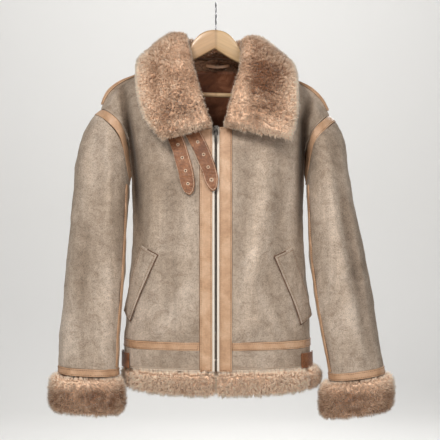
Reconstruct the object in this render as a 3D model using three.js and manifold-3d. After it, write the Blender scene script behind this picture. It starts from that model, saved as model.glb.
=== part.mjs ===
// A sheepskin flying jacket on a wooden hanger, in millimetres, +Z up, -Y to the front.
// The origin is where a rail carries the hook: the top of the hook's inside.
// "left" is the side of -X, as a viewer in front sees it.
import * as THREE from "three";
import { mergeVertices } from "three/addons/utils/BufferGeometryUtils.js";
import Module from "manifold-3d";

const wasm = await Module();
wasm.setup();

// Driving sizes
const SKIN = 6; // sheepskin: leather and shorn wool together
const SEAM = 0.3; // gap between pieces that are sewn together
const RAISE = 1; // how far a tape stands proud of the sheepskin beside it
const LEATHER = 3; // straps and side tabs
const ROUNDNESS = 2.3; // exponent of the trunk's rounded section
const UNDERARM_Z = -345;
const TAPE_TOP_Z = -666;
const BAND_TOP_Z = -682;
const BAND_END_Z = -717;
const PIPING_END_Z = -722;
const FUR_END_Z = -769;
const TEETH_HALF = 2.2;
const ZIP_TAPE_HALF = 7;
const PLACKET_HALF = 31;
const PLACKET_TOP_Z = -253;
const ARMHOLE_TAPE = 17;
const CUFF_TAPE = 14;
const SHOULDER_TAPE = 9;
const COLLAR_THICK = 25;
const STRAP_WIDE = 28;
const HOLE_R = 1.8;
const HOLE_PITCH = 26;
const HANGER_TILT = 0.03; // radians, the right arm lower
const BAR_R = 4.5;
const BAR_DROP = 182;
const WIRE_R = 1.9;
const HOOK_R = 17; // centre line of the curl
const HOOK_STEM = 52; // from the origin to the top of the wood

const SIDES = { left: -1, right: 1 };

// The trunk's rings: half-widths to each side, and depths to the front and the back
const TRUNK = [
  { z: -345, left: 168, right: 177, front: 106, back: 103, seam: 90 },
  { z: -392, left: 166, right: 174, front: 111, back: 108, seam: 86 },
  { z: -492, left: 169, right: 177, front: 113, back: 110, seam: 76 },
  { z: -554, left: 173, right: 181, front: 113, back: 110, seam: 71 },
  { z: -604, left: 178, right: 187, front: 112, back: 109, seam: 67 },
  { z: -670, left: 184, right: 189, front: 110, back: 107, seam: 63 },
  { z: -722, left: 185, right: 190, front: 109, back: 106, seam: 63 },
];

// The centre lines above the underarm, from the side
const CENTRE_FRONT = [
  { z: -345, y: -106 },
  { z: -300, y: -102 },
  { z: -253, y: -94 },
];
const CENTRE_BACK = [
  { z: -345, y: 103 },
  { z: -300, y: 106 },
  { z: -250, y: 104 },
  { z: -200, y: 98 },
  { z: -150, y: 88 },
  { z: -105, y: 76 },
];

// The neck seam on the left, from the zip round to the centre of the back; the right mirrors it
const NECK = [
  { x: 31, y: -93, z: -251 },
  { x: 46, y: -86, z: -230 },
  { x: 62, y: -70, z: -198 },
  { x: 76, y: -42, z: -156 },
  { x: 82, y: 0, z: -114 },
  { x: 72, y: 42, z: -108 },
  { x: 42, y: 66, z: -106 },
  { x: 0, y: 76, z: -105 },
];

// Each armhole's front and back edges, up from the underarm, then the shoulder seam to the neck
const ARMHOLE = {
  left: {
    front: [
      { x: 168, y: 0, z: -345 },
      { x: 171, y: -14, z: -322 },
      { x: 174, y: -27, z: -288 },
      { x: 180, y: -42, z: -252 },
      { x: 191, y: -51, z: -234 },
      { x: 206, y: -44, z: -221 },
      { x: 220, y: -28, z: -213 },
      { x: 229, y: -8, z: -211 },
    ],
    back: [
      { x: 168, y: 0, z: -345 },
      { x: 172, y: 18, z: -338 },
      { x: 179, y: 36, z: -319 },
      { x: 190, y: 47, z: -293 },
      { x: 204, y: 47, z: -266 },
      { x: 218, y: 34, z: -240 },
      { x: 227, y: 13, z: -221 },
      { x: 229, y: -8, z: -211 },
    ],
    shoulder: [
      { x: 229, y: -8, z: -211 },
      { x: 223, y: -6, z: -190 },
      { x: 215, y: -4, z: -173 },
      { x: 198, y: -2, z: -159 },
      { x: 156, y: 0, z: -142 },
      { x: 118, y: 0, z: -127 },
      { x: 82, y: 0, z: -114 },
    ],
  },
  right: {
    front: [
      { x: 177, y: 0, z: -345 },
      { x: 177, y: -14, z: -326 },
      { x: 179, y: -27, z: -300 },
      { x: 184, y: -42, z: -268 },
      { x: 193, y: -49, z: -250 },
      { x: 205, y: -40, z: -238 },
      { x: 217, y: -22, z: -228 },
      { x: 226, y: 0, z: -222 },
    ],
    back: [
      { x: 177, y: 0, z: -345 },
      { x: 180, y: 20, z: -339 },
      { x: 187, y: 37, z: -321 },
      { x: 196, y: 48, z: -296 },
      { x: 208, y: 48, z: -271 },
      { x: 219, y: 35, z: -248 },
      { x: 225, y: 17, z: -231 },
      { x: 226, y: 0, z: -222 },
    ],
    shoulder: [
      { x: 226, y: 0, z: -222 },
      { x: 219, y: 0, z: -204 },
      { x: 211, y: 0, z: -188 },
      { x: 196, y: 0, z: -173 },
      { x: 156, y: 0, z: -152 },
      { x: 118, y: 0, z: -132 },
      { x: 82, y: 0, z: -116 },
    ],
  },
};

// The crease that runs up from each underarm on the front, by height
const CREASE = [
  { z: -345, left: 172, right: 176, deep: 0 },
  { z: -300, left: 174, right: 176, deep: 3 },
  { z: -262, left: 176, right: 178, deep: 7 },
  { z: -240, left: 180, right: 179, deep: 12 },
  { z: -222, left: 184, right: 181, deep: 13 },
  { z: -205, left: 185, right: 182, deep: 10 },
  { z: -188, left: 182, right: 182, deep: 5 },
  { z: -168, left: 180, right: 182, deep: 0 },
  { z: -100, left: 180, right: 182, deep: 0 },
];
const CREASE_WIDE = 13;

// The sleeves' rings below the armhole: outer and inner edge, middle of the depth, half depth, and
// how far the ring leans, as a slope along x
const SLEEVE = {
  left: [
    { z: -378, out: 284, inn: 173, mid: -14, deep: 58, lean: 0 },
    { z: -484, out: 292, inn: 176, mid: -30, deep: 58, lean: 0 },
    { z: -577, out: 300, inn: 180.5, mid: -45, deep: 57, lean: 0.01 },
    { z: -670, out: 306, inn: 188, mid: -58, deep: 54, lean: 0.03 },
    { z: -716, out: 307, inn: 188, mid: -64, deep: 53, lean: 0.05 },
    { z: -736, out: 307, inn: 188, mid: -66, deep: 53, lean: 0.05 },
  ],
  right: [
    { z: -378, out: 270, inn: 180, mid: -11, deep: 58, lean: 0 },
    { z: -484, out: 291, inn: 182.5, mid: -25, deep: 58, lean: 0.03 },
    { z: -577, out: 307, inn: 193, mid: -38, deep: 57, lean: 0.07 },
    { z: -671, out: 320, inn: 209, mid: -50, deep: 54, lean: 0.11 },
    { z: -722, out: 328, inn: 219, mid: -55, deep: 53, lean: 0.135 },
    { z: -742, out: 331, inn: 221, mid: -57, deep: 53, lean: 0.135 },
  ],
};

// The fur cuffs' middles and sizes
const CUFF = {
  left: { x: 250, y: -70, z: -768.5, wide: 76, deep: 60, tall: 75.4, lean: 0.05 },
  right: { x: 274, y: -58, z: -774, wide: 75, deep: 59, tall: 73.8, lean: 0.135 },
};

// The fur hem stands out this far from the band
const HEM_FUR = { left: 2, right: 20, front: 15, back: 15, inside: 10 };

// The collar's middle surface, a row for each section from the zip to the centre of the back:
// n is the neck seam, r the roll, f the free edge
const COLLAR = {
  left: [
    { nx: 12, ny: -101, nz: -258, rx: 16, ry: -121, rz: -257, fx: 104, fy: -126, fz: -283 },
    { nx: 44, ny: -92, nz: -228, rx: 32, ry: -115, rz: -210, fx: 138, fy: -112, fz: -240 },
    { nx: 64, ny: -74, nz: -192, rx: 44, ry: -96, rz: -165, fx: 153, fy: -86, fz: -190 },
    { nx: 79, ny: -44, nz: -149, rx: 58, ry: -66, rz: -115, fx: 157, fy: -50, fz: -142 },
    { nx: 86, ny: 0, nz: -107, rx: 67, ry: -18, rz: -70, fx: 154, fy: -4, fz: -120 },
    { nx: 76, ny: 44, nz: -101, rx: 66, ry: 36, rz: -69, fx: 138, fy: 66, fz: -138 },
    { nx: 44, ny: 70, nz: -99, rx: 40, ry: 74, rz: -70, fx: 88, fy: 114, fz: -178 },
    { nx: 0, ny: 80, nz: -98, rx: 0, ry: 86, rz: -72, fx: 0, fy: 126, fz: -192 },
  ],
  right: [
    { nx: 21, ny: -101, nz: -258, rx: 26, ry: -120, rz: -258, fx: 146, fy: -122, fz: -282 },
    { nx: 45, ny: -92, nz: -228, rx: 36, ry: -114, rz: -208, fx: 158, fy: -106, fz: -234 },
    { nx: 64, ny: -74, nz: -192, rx: 47, ry: -96, rz: -167, fx: 160, fy: -82, fz: -188 },
    { nx: 79, ny: -44, nz: -151, rx: 58, ry: -66, rz: -122, fx: 159, fy: -46, fz: -150 },
    { nx: 86, ny: 0, nz: -109, rx: 61, ry: -25, rz: -79, fx: 153, fy: -4, fz: -128 },
    { nx: 76, ny: 44, nz: -101, rx: 64, ry: 36, rz: -72, fx: 138, fy: 66, fz: -140 },
    { nx: 44, ny: 70, nz: -99, rx: 40, ry: 74, rz: -71, fx: 88, fy: 114, fz: -178 },
    { nx: 0, ny: 80, nz: -98, rx: 0, ry: 86, rz: -72, fx: 0, fy: 126, fz: -192 },
  ],
};

// The collar straps: the top and the tip of each middle line on the chest, and how far it swings sideways
const STRAPS = {
  collar_strap_outer: { topX: -84, topZ: -258, tipX: -50, tipZ: -384, swing: 5, lift: 2 },
  collar_strap_inner: { topX: -50, topZ: -254, tipX: -4, tipZ: -376, swing: 7, lift: 5 },
};

// The pocket welts' corners: ring angle in degrees and height, upper and lower, inner and outer edge
const WELTS = {
  left: {
    top: { inner: 38, innerZ: -500, outer: 55, outerZ: -482 },
    low: { inner: 64, innerZ: -628, outer: 84, outerZ: -612 },
  },
  right: {
    top: { inner: 36, innerZ: -503, outer: 53, outerZ: -486 },
    low: { inner: 58, innerZ: -634, outer: 80, outerZ: -620 },
  },
};

// The hanger's outline to each side: upper and lower edge, and the board's thickness
const HANGER = [
  { x: 0, top: -52, low: -90, thick: 14 },
  { x: 9, top: -52.8, low: -95.5, thick: 14 },
  { x: 18, top: -55, low: -101, thick: 14 },
  { x: 27, top: -59.5, low: -106, thick: 14 },
  { x: 35, top: -66, low: -110.5, thick: 14 },
  { x: 42, top: -74, low: -114, thick: 14 },
  { x: 48, top: -83, low: -116.5, thick: 14 },
  { x: 53, top: -93, low: -119, thick: 14 },
  { x: 58, top: -103, low: -121.5, thick: 14 },
  { x: 66, top: -117, low: -128, thick: 14 },
  { x: 78, top: -128, low: -139, thick: 14 },
  { x: 98, top: -137, low: -152, thick: 14 },
  { x: 122, top: -149, low: -165, thick: 14 },
  { x: 148, top: -162, low: -180, thick: 14 },
  { x: 170, top: -173, low: -193, thick: 14 },
  { x: 184, top: -181, low: -197, thick: 12 },
  { x: 190, top: -187, low: -195, thick: 8 },
];

// Smooth value of one column of a table at a height or share
function valueAt(table, key, name, at) {
  const last = table.length - 1;
  const rising = table[last][key] > table[0][key] ? 1 : -1;
  let i = 0;
  while (i < last - 1 && rising * (at - table[i + 1][key]) > 0) i += 1;
  const [a, b] = [table[i], table[i + 1]];
  const span = b[key] - a[key];
  const t = THREE.MathUtils.clamp((at - a[key]) / span, 0, 1);
  const slope = (p, q) => (q[name] - p[name]) / (q[key] - p[key]);
  const inner = slope(a, b);
  const before = i > 0 ? (slope(table[i - 1], a) + inner) / 2 : inner;
  const after = i < last - 1 ? (inner + slope(b, table[i + 2])) / 2 : inner;
  const [t2, t3] = [t * t, t * t * t];
  return (
    a[name] * (2 * t3 - 3 * t2 + 1) +
    b[name] * (3 * t2 - 2 * t3) +
    before * span * (t3 - 2 * t2 + t) +
    after * span * (t3 - t2)
  );
}

// A smooth curve through a table's x, y, z, mirrored to its side
function curveOf(table, side, closed = false) {
  const points = table.map((p) => new THREE.Vector3(side * p.x, p.y, p.z));
  return new THREE.CatmullRomCurve3(points, closed, "centripetal");
}

const steps = (count) => Array.from({ length: count + 1 }, (_, i) => i / count);
const vector = (x, y, z) => new THREE.Vector3(x, y, z);
const { lerp, degToRad, radToDeg } = THREE.MathUtils;

// A sheet is a grid of points with the cloth's outward normals; turn, 1 or -1, picks the side
function sheetOf(grid, turn, closed = false) {
  const [rows, cols] = [grid.length, grid[0].length];
  const normals = grid.map((row, i) =>
    row.map((_, j) => {
      const [up, down] = [Math.min(i + 1, rows - 1), Math.max(i - 1, 0)];
      const next = closed ? (j + 1) % cols : Math.min(j + 1, cols - 1);
      const prev = closed ? (j + cols - 1) % cols : Math.max(j - 1, 0);
      const along = grid[up][j].clone().sub(grid[down][j]);
      const across = grid[i][next].clone().sub(grid[i][prev]);
      return along.cross(across).normalize().multiplyScalar(turn);
    }),
  );
  return { grid, normals, closed };
}

// Sheets that meet along an edge share its normals, so that their walls meet in a mitre;
// where they fold right back on each other, as under the arm, each keeps its own
function meet(first, second) {
  const mean = (list) => list.reduce((sum, n) => sum.add(n), vector(0, 0, 0)).normalize();
  const [a, b] = [mean(first), mean(second)];
  if (a.dot(b) < -0.2) return;
  const shared = mean([a.clone(), b]);
  const slant = Math.max(shared.dot(a), 0.6);
  for (const normal of [...first, ...second]) normal.copy(shared).divideScalar(slant);
}

// The points of a sheet moved along its normals, by a distance or a function of row and column
function moved(sheet, distance) {
  const by = typeof distance === "function" ? distance : () => distance;
  return sheet.grid.map((row, i) =>
    row.map((p, j) => p.clone().addScaledVector(sheet.normals[i][j], by(i, j))),
  );
}

// A closed solid between an outer and an inner grid; closed grids run round a tube
function solidBetween(outer, inner, closed = false) {
  const [rows, cols] = [outer.length, outer[0].length];
  const points = [...outer.flat(), ...inner.flat()];
  const at = (layer, i, j) => layer * rows * cols + i * cols + (j % cols);
  const index = [];
  const quad = (a, b, c, d) => index.push(a, b, c, a, c, d);
  const spans = closed ? cols : cols - 1;
  for (let i = 0; i < rows - 1; i += 1) {
    for (let j = 0; j < spans; j += 1) {
      quad(at(0, i, j), at(0, i, j + 1), at(0, i + 1, j + 1), at(0, i + 1, j));
      quad(at(1, i, j), at(1, i + 1, j), at(1, i + 1, j + 1), at(1, i, j + 1));
    }
  }
  for (let j = 0; j < spans; j += 1) {
    quad(at(0, 0, j + 1), at(0, 0, j), at(1, 0, j), at(1, 0, j + 1));
    quad(at(0, rows - 1, j), at(0, rows - 1, j + 1), at(1, rows - 1, j + 1), at(1, rows - 1, j));
  }
  for (let i = 0; i < rows - 1 && !closed; i += 1) {
    quad(at(0, i, 0), at(0, i + 1, 0), at(1, i + 1, 0), at(1, i, 0));
    quad(at(0, i + 1, cols - 1), at(0, i, cols - 1), at(1, i, cols - 1), at(1, i + 1, cols - 1));
  }
  return facingOut(points, index);
}

// A solid through closed rings of points; it runs round on itself, or each end is closed by a fan
function loft(rings, loop = false) {
  const cols = rings[0].length;
  const points = rings.flat();
  const index = [];
  const spans = loop ? rings.length : rings.length - 1;
  for (let i = 0; i < spans; i += 1) {
    for (let j = 0; j < cols; j += 1) {
      const [here, there] = [i * cols, ((i + 1) % rings.length) * cols];
      const next = (j + 1) % cols;
      index.push(here + j, here + next, there + next, here + j, there + next, there + j);
    }
  }
  for (const last of loop ? [] : [false, true]) {
    const ring = last ? rings.at(-1) : rings[0];
    const from = last ? (rings.length - 1) * cols : 0;
    const middle = ring.reduce((sum, p) => sum.add(p), vector(0, 0, 0)).divideScalar(cols);
    for (let j = 0; j < cols; j += 1) {
      const [a, b] = [from + j, from + ((j + 1) % cols)];
      index.push(...(last ? [a, b] : [b, a]), points.length);
    }
    points.push(middle);
  }
  return facingOut(points, index);
}

// The enclosed volume tells whether the faces point out; if not, every face is turned
function facingOut(points, index) {
  let volume = 0;
  for (let i = 0; i < index.length; i += 3) {
    const [a, b, c] = [points[index[i]], points[index[i + 1]], points[index[i + 2]]];
    volume += a.dot(b.clone().cross(c));
  }
  const geometry = new THREE.BufferGeometry().setFromPoints(points);
  geometry.setIndex(volume < 0 ? index.slice().reverse() : index);
  return geometry;
}

// Pulls a grid's edges in by the seam gap, along its own lines
function trimmed(grid, { first = 0, last = 0, start = 0, end = 0 }) {
  const out = grid.map((row) => row.map((p) => p.clone()));
  const pull = (i, j, k, l, by) => {
    const towards = grid[k][l].clone().sub(grid[i][j]).normalize();
    out[i][j].addScaledVector(towards, by);
  };
  const [bottom, right] = [grid.length - 1, grid[0].length - 1];
  for (let i = 0; i <= bottom; i += 1) {
    if (start) pull(i, 0, i, 1, start);
    if (end) pull(i, right, i, right - 1, end);
  }
  for (let j = 0; j <= right; j += 1) {
    if (first) pull(0, j, 1, j, first);
    if (last) pull(bottom, j, bottom - 1, j, last);
  }
  return out;
}

const ALL_ROUND = { first: SEAM, last: SEAM, start: 2 * SEAM, end: SEAM };

// A cloth wall from its sheet: raise is how far its face stands out of it
function wall(sheet, { raise = 0, thick = SKIN, trim = {} }) {
  const cut = { ...sheet, grid: trimmed(sheet.grid, trim) };
  const height = typeof raise === "function" ? raise : () => raise;
  const back = (i, j) => height(i, j) - thick;
  return solidBetween(moved(cut, height), moved(cut, back), sheet.closed);
}

// Signed power, for rounded sections
const rounded = (value, power) => Math.sign(value) * Math.abs(value) ** power;

const sideName = (side) => (side < 0 ? "left" : "right");
const seamAngle = (z) => valueAt(TRUNK, "z", "seam", z);

// A point of the trunk's ring: angle 0 is the centre front, 90 the side, 180 the centre back
function ringPoint(side, z, degrees) {
  const angle = degToRad(degrees);
  const wide = valueAt(TRUNK, "z", sideName(side), z);
  const deep = valueAt(TRUNK, "z", degrees <= 90 ? "front" : "back", z);
  const across = wide * rounded(Math.sin(angle), 2 / ROUNDNESS);
  const along = -deep * rounded(Math.cos(angle), 2 / ROUNDNESS);
  return vector(side * across, along, z);
}

// The ring angle at a distance from the centre front
function angleAt(side, z, x) {
  const wide = valueAt(TRUNK, "z", sideName(side), z);
  return radToDeg(Math.asin((x / wide) ** (ROUNDNESS / 2)));
}

// The chest's face near the zip, from the hem to the zip's top
function chestPoint(x, z) {
  const side = x < 0 ? -1 : 1;
  const low = Math.min(z, UNDERARM_Z);
  const point = ringPoint(side, low, angleAt(side, low, Math.abs(x)));
  const rise = z > UNDERARM_Z ? valueAt(CENTRE_FRONT, "z", "y", z) - CENTRE_FRONT[0].y : 0;
  return vector(x, point.y + rise, z);
}

// A point between a middle point and a lateral point, rounding back from one angle to another;
// the lower the fullness, the longer the cloth stays forward
function between(middle, lateral, share, [from, to], fullness = 2 / ROUNDNESS) {
  const ease = (f, power, angle) => f(Math.min(degToRad(angle), Math.PI / 2)) ** power;
  const part = (f, power) => {
    const [start, end] = [ease(f, power, from), ease(f, power, to)];
    return (ease(f, power, lerp(from, to, share)) - start) / (end - start);
  };
  const out = part(Math.sin, 2 / ROUNDNESS);
  const back = part((angle) => Math.max(Math.cos(angle), 0), fullness);
  const [x, z] = [lerp(middle.x, lateral.x, out), lerp(middle.z, lateral.z, out)];
  return vector(x, lerp(middle.y, lateral.y, back), z);
}

const LOW_ROWS = 7; // rows of a trunk panel below the underarm
const ARM_ROWS = 10; // rows up the armhole
const SHOULDER_ROWS = 6; // rows along the shoulder
const NECK_SHOULDER = 4; // where the shoulder seam reaches the neck seam, in NECK
const FRONT_SHARES = [0, 0.15, 0.3, 0.44, 0.56, 0.66, 0.74, 0.8, 0.86, 0.91, 0.955, 1];
const SMOOTHINGS = 8;
const BACK_SHARES = [0, 0.13, 0.26, 0.39, 0.52, 0.64, 0.75, 0.84, 0.92, 1];

// Strips round the trunk at given heights: from the placket to the side seam, or across the back
function frontStrip(side, heights, shares) {
  return heights.map((z) => {
    const from = angleAt(side, z, PLACKET_HALF);
    return shares.map((f) => ringPoint(side, z, lerp(from, seamAngle(z), f)));
  });
}

function backStrip(heights, shares) {
  return heights.map((z) => {
    const half = (side) => shares.map((f) => ringPoint(side, z, lerp(180, seamAngle(z), f)));
    return [...half(-1).reverse(), ...half(1).slice(1)];
  });
}

// Upper rows: climb runs from 0 to 1 up the armhole, then from 1 to 2 along the shoulder
const LOW_HEIGHTS = steps(LOW_ROWS).map((s) => lerp(TAPE_TOP_Z, UNDERARM_Z, s));
const CLIMBS = [
  ...steps(ARM_ROWS).slice(1),
  ...steps(SHOULDER_ROWS).slice(1).map((s) => 1 + s),
];

function lateralPoint(side, face, climb) {
  const edges = ARMHOLE[sideName(side)];
  if (climb <= 1) return curveOf(edges[face], side).getPointAt(climb);
  return curveOf(edges.shoulder, side).getPointAt(Math.min(climb - 1, 1));
}

// The angles through which an upper front row rounds back, and its fullness
function rowTurn(side, climb) {
  const from = angleAt(side, UNDERARM_Z, PLACKET_HALF);
  return [from, climb < 1 ? 90 - 26 * Math.sin(climb * Math.PI) : 90];
}

function rowFullness(climb) {
  return lerp(2 / ROUNDNESS, 1.25, THREE.MathUtils.smoothstep(climb, 0.9, 1.35));
}

// The medial end of a front row: up the placket, then along the neck seam to the shoulder
function frontMedial(side, climb) {
  const zipShare = 0.55;
  if (climb <= zipShare) {
    const z = lerp(UNDERARM_Z, PLACKET_TOP_Z + 2, climb / zipShare);
    return chestPoint(side * PLACKET_HALF, z);
  }
  const share = (climb - zipShare) / (2 - zipShare);
  return curveOf(NECK, side).getPoint((share * NECK_SHOULDER) / (NECK.length - 1));
}

// Evens out the inside of a grid from a row up: each point moves towards its four neighbours
function relaxed(grid, firstRow, rounds) {
  let now = grid;
  for (let round = 0; round < rounds; round += 1) {
    const was = now;
    now = was.map((row, i) =>
      row.map((p, j) => {
        const edge = i <= firstRow || i === was.length - 1 || j === 0 || j === row.length - 1;
        if (edge) return p;
        const around = [was[i - 1][j], was[i + 1][j], row[j - 1], row[j + 1]];
        const mean = around.reduce((sum, q) => sum.add(q), vector(0, 0, 0)).divideScalar(4);
        return p.clone().lerp(mean, 0.5);
      }),
    );
  }
  return now;
}

function frontGrid(side) {
  const rows = frontStrip(side, LOW_HEIGHTS, FRONT_SHARES);
  for (const climb of CLIMBS) {
    const middle = frontMedial(side, climb);
    const lateral = lateralPoint(side, "front", climb);
    const [turn, fullness] = [rowTurn(side, climb), rowFullness(climb)];
    const row = FRONT_SHARES.slice(0, -1).map((f) => between(middle, lateral, f, turn, fullness));
    rows.push([...row, lateral]);
  }
  const grid = relaxed(rows, LOW_ROWS - 1, SMOOTHINGS);
  for (const p of grid.flatMap((row) => row.slice(1, -1)).filter((q) => q.z > UNDERARM_Z)) {
    const [line, deep] = [sideName(side), "deep"].map((name) => valueAt(CREASE, "z", name, p.z));
    p.y += deep * Math.exp(-(((Math.abs(p.x) - line) / CREASE_WIDE) ** 2) / 2);
  }
  return grid;
}

function backHalf(side) {
  return CLIMBS.map((climb) => {
    const z = lerp(UNDERARM_Z, CENTRE_BACK.at(-1).z, climb / 2);
    const middle = vector(0, valueAt(CENTRE_BACK, "z", "y", z), z);
    const lateral = lateralPoint(side, "back", climb);
    return BACK_SHARES.map((f) => between(middle, lateral, f, [0, 90]));
  });
}

// The whole back: both halves share the centre line
function backGrid() {
  const [left, right] = [backHalf(-1), backHalf(1)];
  const upper = left.map((row, i) => [...row.slice(1).reverse(), ...right[i]]);
  return relaxed([...backStrip(LOW_HEIGHTS, BACK_SHARES), ...upper], LOW_ROWS - 1, SMOOTHINGS);
}

// The armhole as a loop: from the shoulder down the front to the underarm, and up the back
const LOOP_POINTS = 2 * ARM_ROWS;
function armholeLoop(side) {
  const climbs = steps(ARM_ROWS).slice(0, ARM_ROWS);
  const down = climbs.map((s) => lateralPoint(side, "front", 1 - s));
  const up = climbs.map((s) => lateralPoint(side, "back", s));
  return [...down, ...up];
}

// A ring of the sleeve at a height, in the loop's order: 0 is the outer edge, then the front
function sleeveRing(side, z) {
  const table = SLEEVE[sideName(side)];
  const at = (name) => valueAt(table, "z", name, z);
  const centre = (at("out") + at("inn")) / 2;
  const wide = (at("out") - at("inn")) / 2;
  return Array.from({ length: LOOP_POINTS }, (_, j) => {
    const angle = (2 * Math.PI * j) / LOOP_POINTS;
    const x = wide * rounded(Math.cos(angle), 2 / 2.2);
    const y = -at("deep") * rounded(Math.sin(angle), 2 / 2.2);
    return vector(side * (centre + x), at("mid") + y, z + at("lean") * x);
  });
}

// From the armhole the sleeve's head bends over into the arm: its tape, and the rows below it
const HEAD_ROWS = 5;
function headRows(side) {
  const top = SLEEVE[sideName(side)][0].z;
  const [ring, below] = [sleeveRing(side, top), sleeveRing(side, top - 20)];
  const paths = armholeLoop(side).map((start, j) => {
    const end = ring[j];
    const upper = Math.max(Math.cos((2 * Math.PI * j) / LOOP_POINTS), 0);
    const span = start.distanceTo(end);
    const away = vector(side * (0.35 + 0.5 * upper), 0, -0.55 - 0.45 * (1 - upper)).normalize();
    const near = start.clone().addScaledVector(away, 5 * SEAM);
    const one = near.clone().addScaledVector(away, span * 0.36);
    const rise = end.clone().sub(below[j]).normalize();
    const two = end.clone().addScaledVector(rise, span * 0.36);
    return new THREE.CubicBezierCurve3(near, one, two, end);
  });
  const edges = paths.map((path) => Math.min(0.62, ARMHOLE_TAPE / path.getLength()));
  const tape = [0, 0.12, 0.55, 1].map((s) => paths.map((path, j) => path.getPointAt(s * edges[j])));
  const head = steps(HEAD_ROWS).map((s) => paths.map((path, j) => path.getPointAt(lerp(edges[j], 1, s))));
  return { tape, head };
}

const ARM_HEIGHTS = [-427, -476, -525, -574, -622, -670];

function armSheets(side) {
  const { tape, head } = headRows(side);
  const end = SLEEVE[sideName(side)].at(-2).z;
  const rings = [...ARM_HEIGHTS, end].map((z) => sleeveRing(side, z));
  return {
    tape: sheetOf(tape, -side, true),
    sleeve: sheetOf([...head, ...rings], -side, true),
    cuff: sheetOf([sleeveRing(side, end), sleeveRing(side, end - CUFF_TAPE)], -side, true),
  };
}

const panels = {
  left: sheetOf(frontGrid(-1), 1),
  right: sheetOf(frontGrid(1), -1),
  back: sheetOf(backGrid(), 1),
};
const arms = { left: armSheets(-1), right: armSheets(1) };

// Along the side seams, shoulder seams and armholes the sheets share their normals
for (const name of Object.keys(SIDES)) {
  const { tape, sleeve, cuff } = arms[name];
  panels[name].normals.forEach((row, i) => {
    const front = row.at(-1);
    const backRow = panels.back.normals[i];
    const back = name === "left" ? backRow[0] : backRow.at(-1);
    const climb = i - LOW_ROWS;
    if (climb > 0 && climb < ARM_ROWS) {
      meet([front], [tape.normals[0][ARM_ROWS - climb]]);
      meet([back], [tape.normals[0][ARM_ROWS + climb]]);
    } else if (climb === 0 || climb === ARM_ROWS) {
      meet([front], [back]);
      meet([front, back], [tape.normals[0][ARM_ROWS - climb]]);
    } else {
      meet([front], [back]);
    }
  });
  tape.normals.at(-1).forEach((normal, j) => meet([normal], [sleeve.normals[0][j]]));
  sleeve.normals.at(-1).forEach((normal, j) => meet([normal], [cuff.normals[0][j]]));
}

// The finished pieces are collected here
const model = new THREE.Group();
const finish = {
  suede: new THREE.MeshStandardMaterial({ color: 0xa8957f, roughness: 0.9, metalness: 0 }),
  tan: new THREE.MeshStandardMaterial({ color: 0xcf9f76, roughness: 0.6, metalness: 0 }),
  fur: new THREE.MeshStandardMaterial({ color: 0xc09a7c, roughness: 1, metalness: 0 }),
  brown: new THREE.MeshStandardMaterial({ color: 0x8a5a40, roughness: 0.55, metalness: 0 }),
  lining: new THREE.MeshStandardMaterial({ color: 0x4a2a1c, roughness: 0.6, metalness: 0 }),
  tape: new THREE.MeshStandardMaterial({ color: 0xe3d6c4, roughness: 0.8, metalness: 0 }),
  zip: new THREE.MeshStandardMaterial({ color: 0x4c4238, roughness: 0.4, metalness: 0.9 }),
  wood: new THREE.MeshStandardMaterial({ color: 0xd8b482, roughness: 0.45, metalness: 0 }),
  steel: new THREE.MeshStandardMaterial({ color: 0xb9bcc0, roughness: 0.25, metalness: 1 }),
};

function add(name, geometry, material) {
  const mesh = new THREE.Mesh(geometry, material);
  mesh.name = name;
  model.add(mesh);
  return mesh;
}

// Closed geometry to a solid for joining and cutting, and back
function solidOf(geometry) {
  const bare = geometry.index ? geometry.toNonIndexed() : geometry.clone();
  bare.deleteAttribute("normal");
  bare.deleteAttribute("uv");
  const merged = mergeVertices(bare, 1e-4);
  const vertProperties = new Float32Array(merged.getAttribute("position").array);
  const triVerts = new Uint32Array(merged.index.array);
  return new wasm.Manifold(new wasm.Mesh({ numProp: 3, vertProperties, triVerts }));
}

function geometryOf(solid) {
  const { vertProperties, triVerts } = solid.getMesh();
  const geometry = new THREE.BufferGeometry();
  geometry.setAttribute("position", new THREE.BufferAttribute(new Float32Array(vertProperties), 3));
  geometry.setIndex(new THREE.BufferAttribute(new Uint32Array(triVerts), 1));
  return geometry;
}

// Trunk panels, sleeves and the tapes between them
add("back", wall(panels.back, { trim: ALL_ROUND }), finish.suede);
for (const name of Object.keys(SIDES)) {
  const { tape, sleeve, cuff } = arms[name];
  const proud = (i) => (i < 1 ? 0 : RAISE);
  const ends = { first: 3 * SEAM, last: SEAM / 2 };
  add(`front_${name}`, wall(panels[name], { trim: ALL_ROUND }), finish.suede);
  add(`armhole_tape_${name}`, wall(tape, { raise: proud, trim: { last: SEAM } }), finish.tan);
  add(`sleeve_${name}`, wall(sleeve, { trim: ends }), finish.suede);
  add(`cuff_tape_${name}`, wall(cuff, { raise: RAISE, trim: { first: SEAM / 2 } }), finish.tan);
}

// Tapes and bands round the waist; the lower edge of each band is the sheepskin's raw edge
const BAND_SHARES = steps(9);
const TAPE_HEIGHTS = [BAND_TOP_Z, TAPE_TOP_Z];
const BAND_HEIGHTS = [PIPING_END_Z, BAND_END_Z - 0.4, BAND_END_Z, -700, BAND_TOP_Z];
const bandRaise = (row) => (row < 2 ? -2 : 0);

// Left, right and back sheets between the same heights, mitred at the side seams
function roundWaist(heights) {
  const front = (side) => sheetOf(frontStrip(side, heights, BAND_SHARES), -side);
  const sheets = { back: sheetOf(backStrip(heights, BAND_SHARES), 1), left: front(-1), right: front(1) };
  heights.forEach((_, i) => {
    meet([sheets.left.normals[i].at(-1)], [sheets.back.normals[i][0]]);
    meet([sheets.right.normals[i].at(-1)], [sheets.back.normals[i].at(-1)]);
  });
  return Object.entries(sheets);
}

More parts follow.
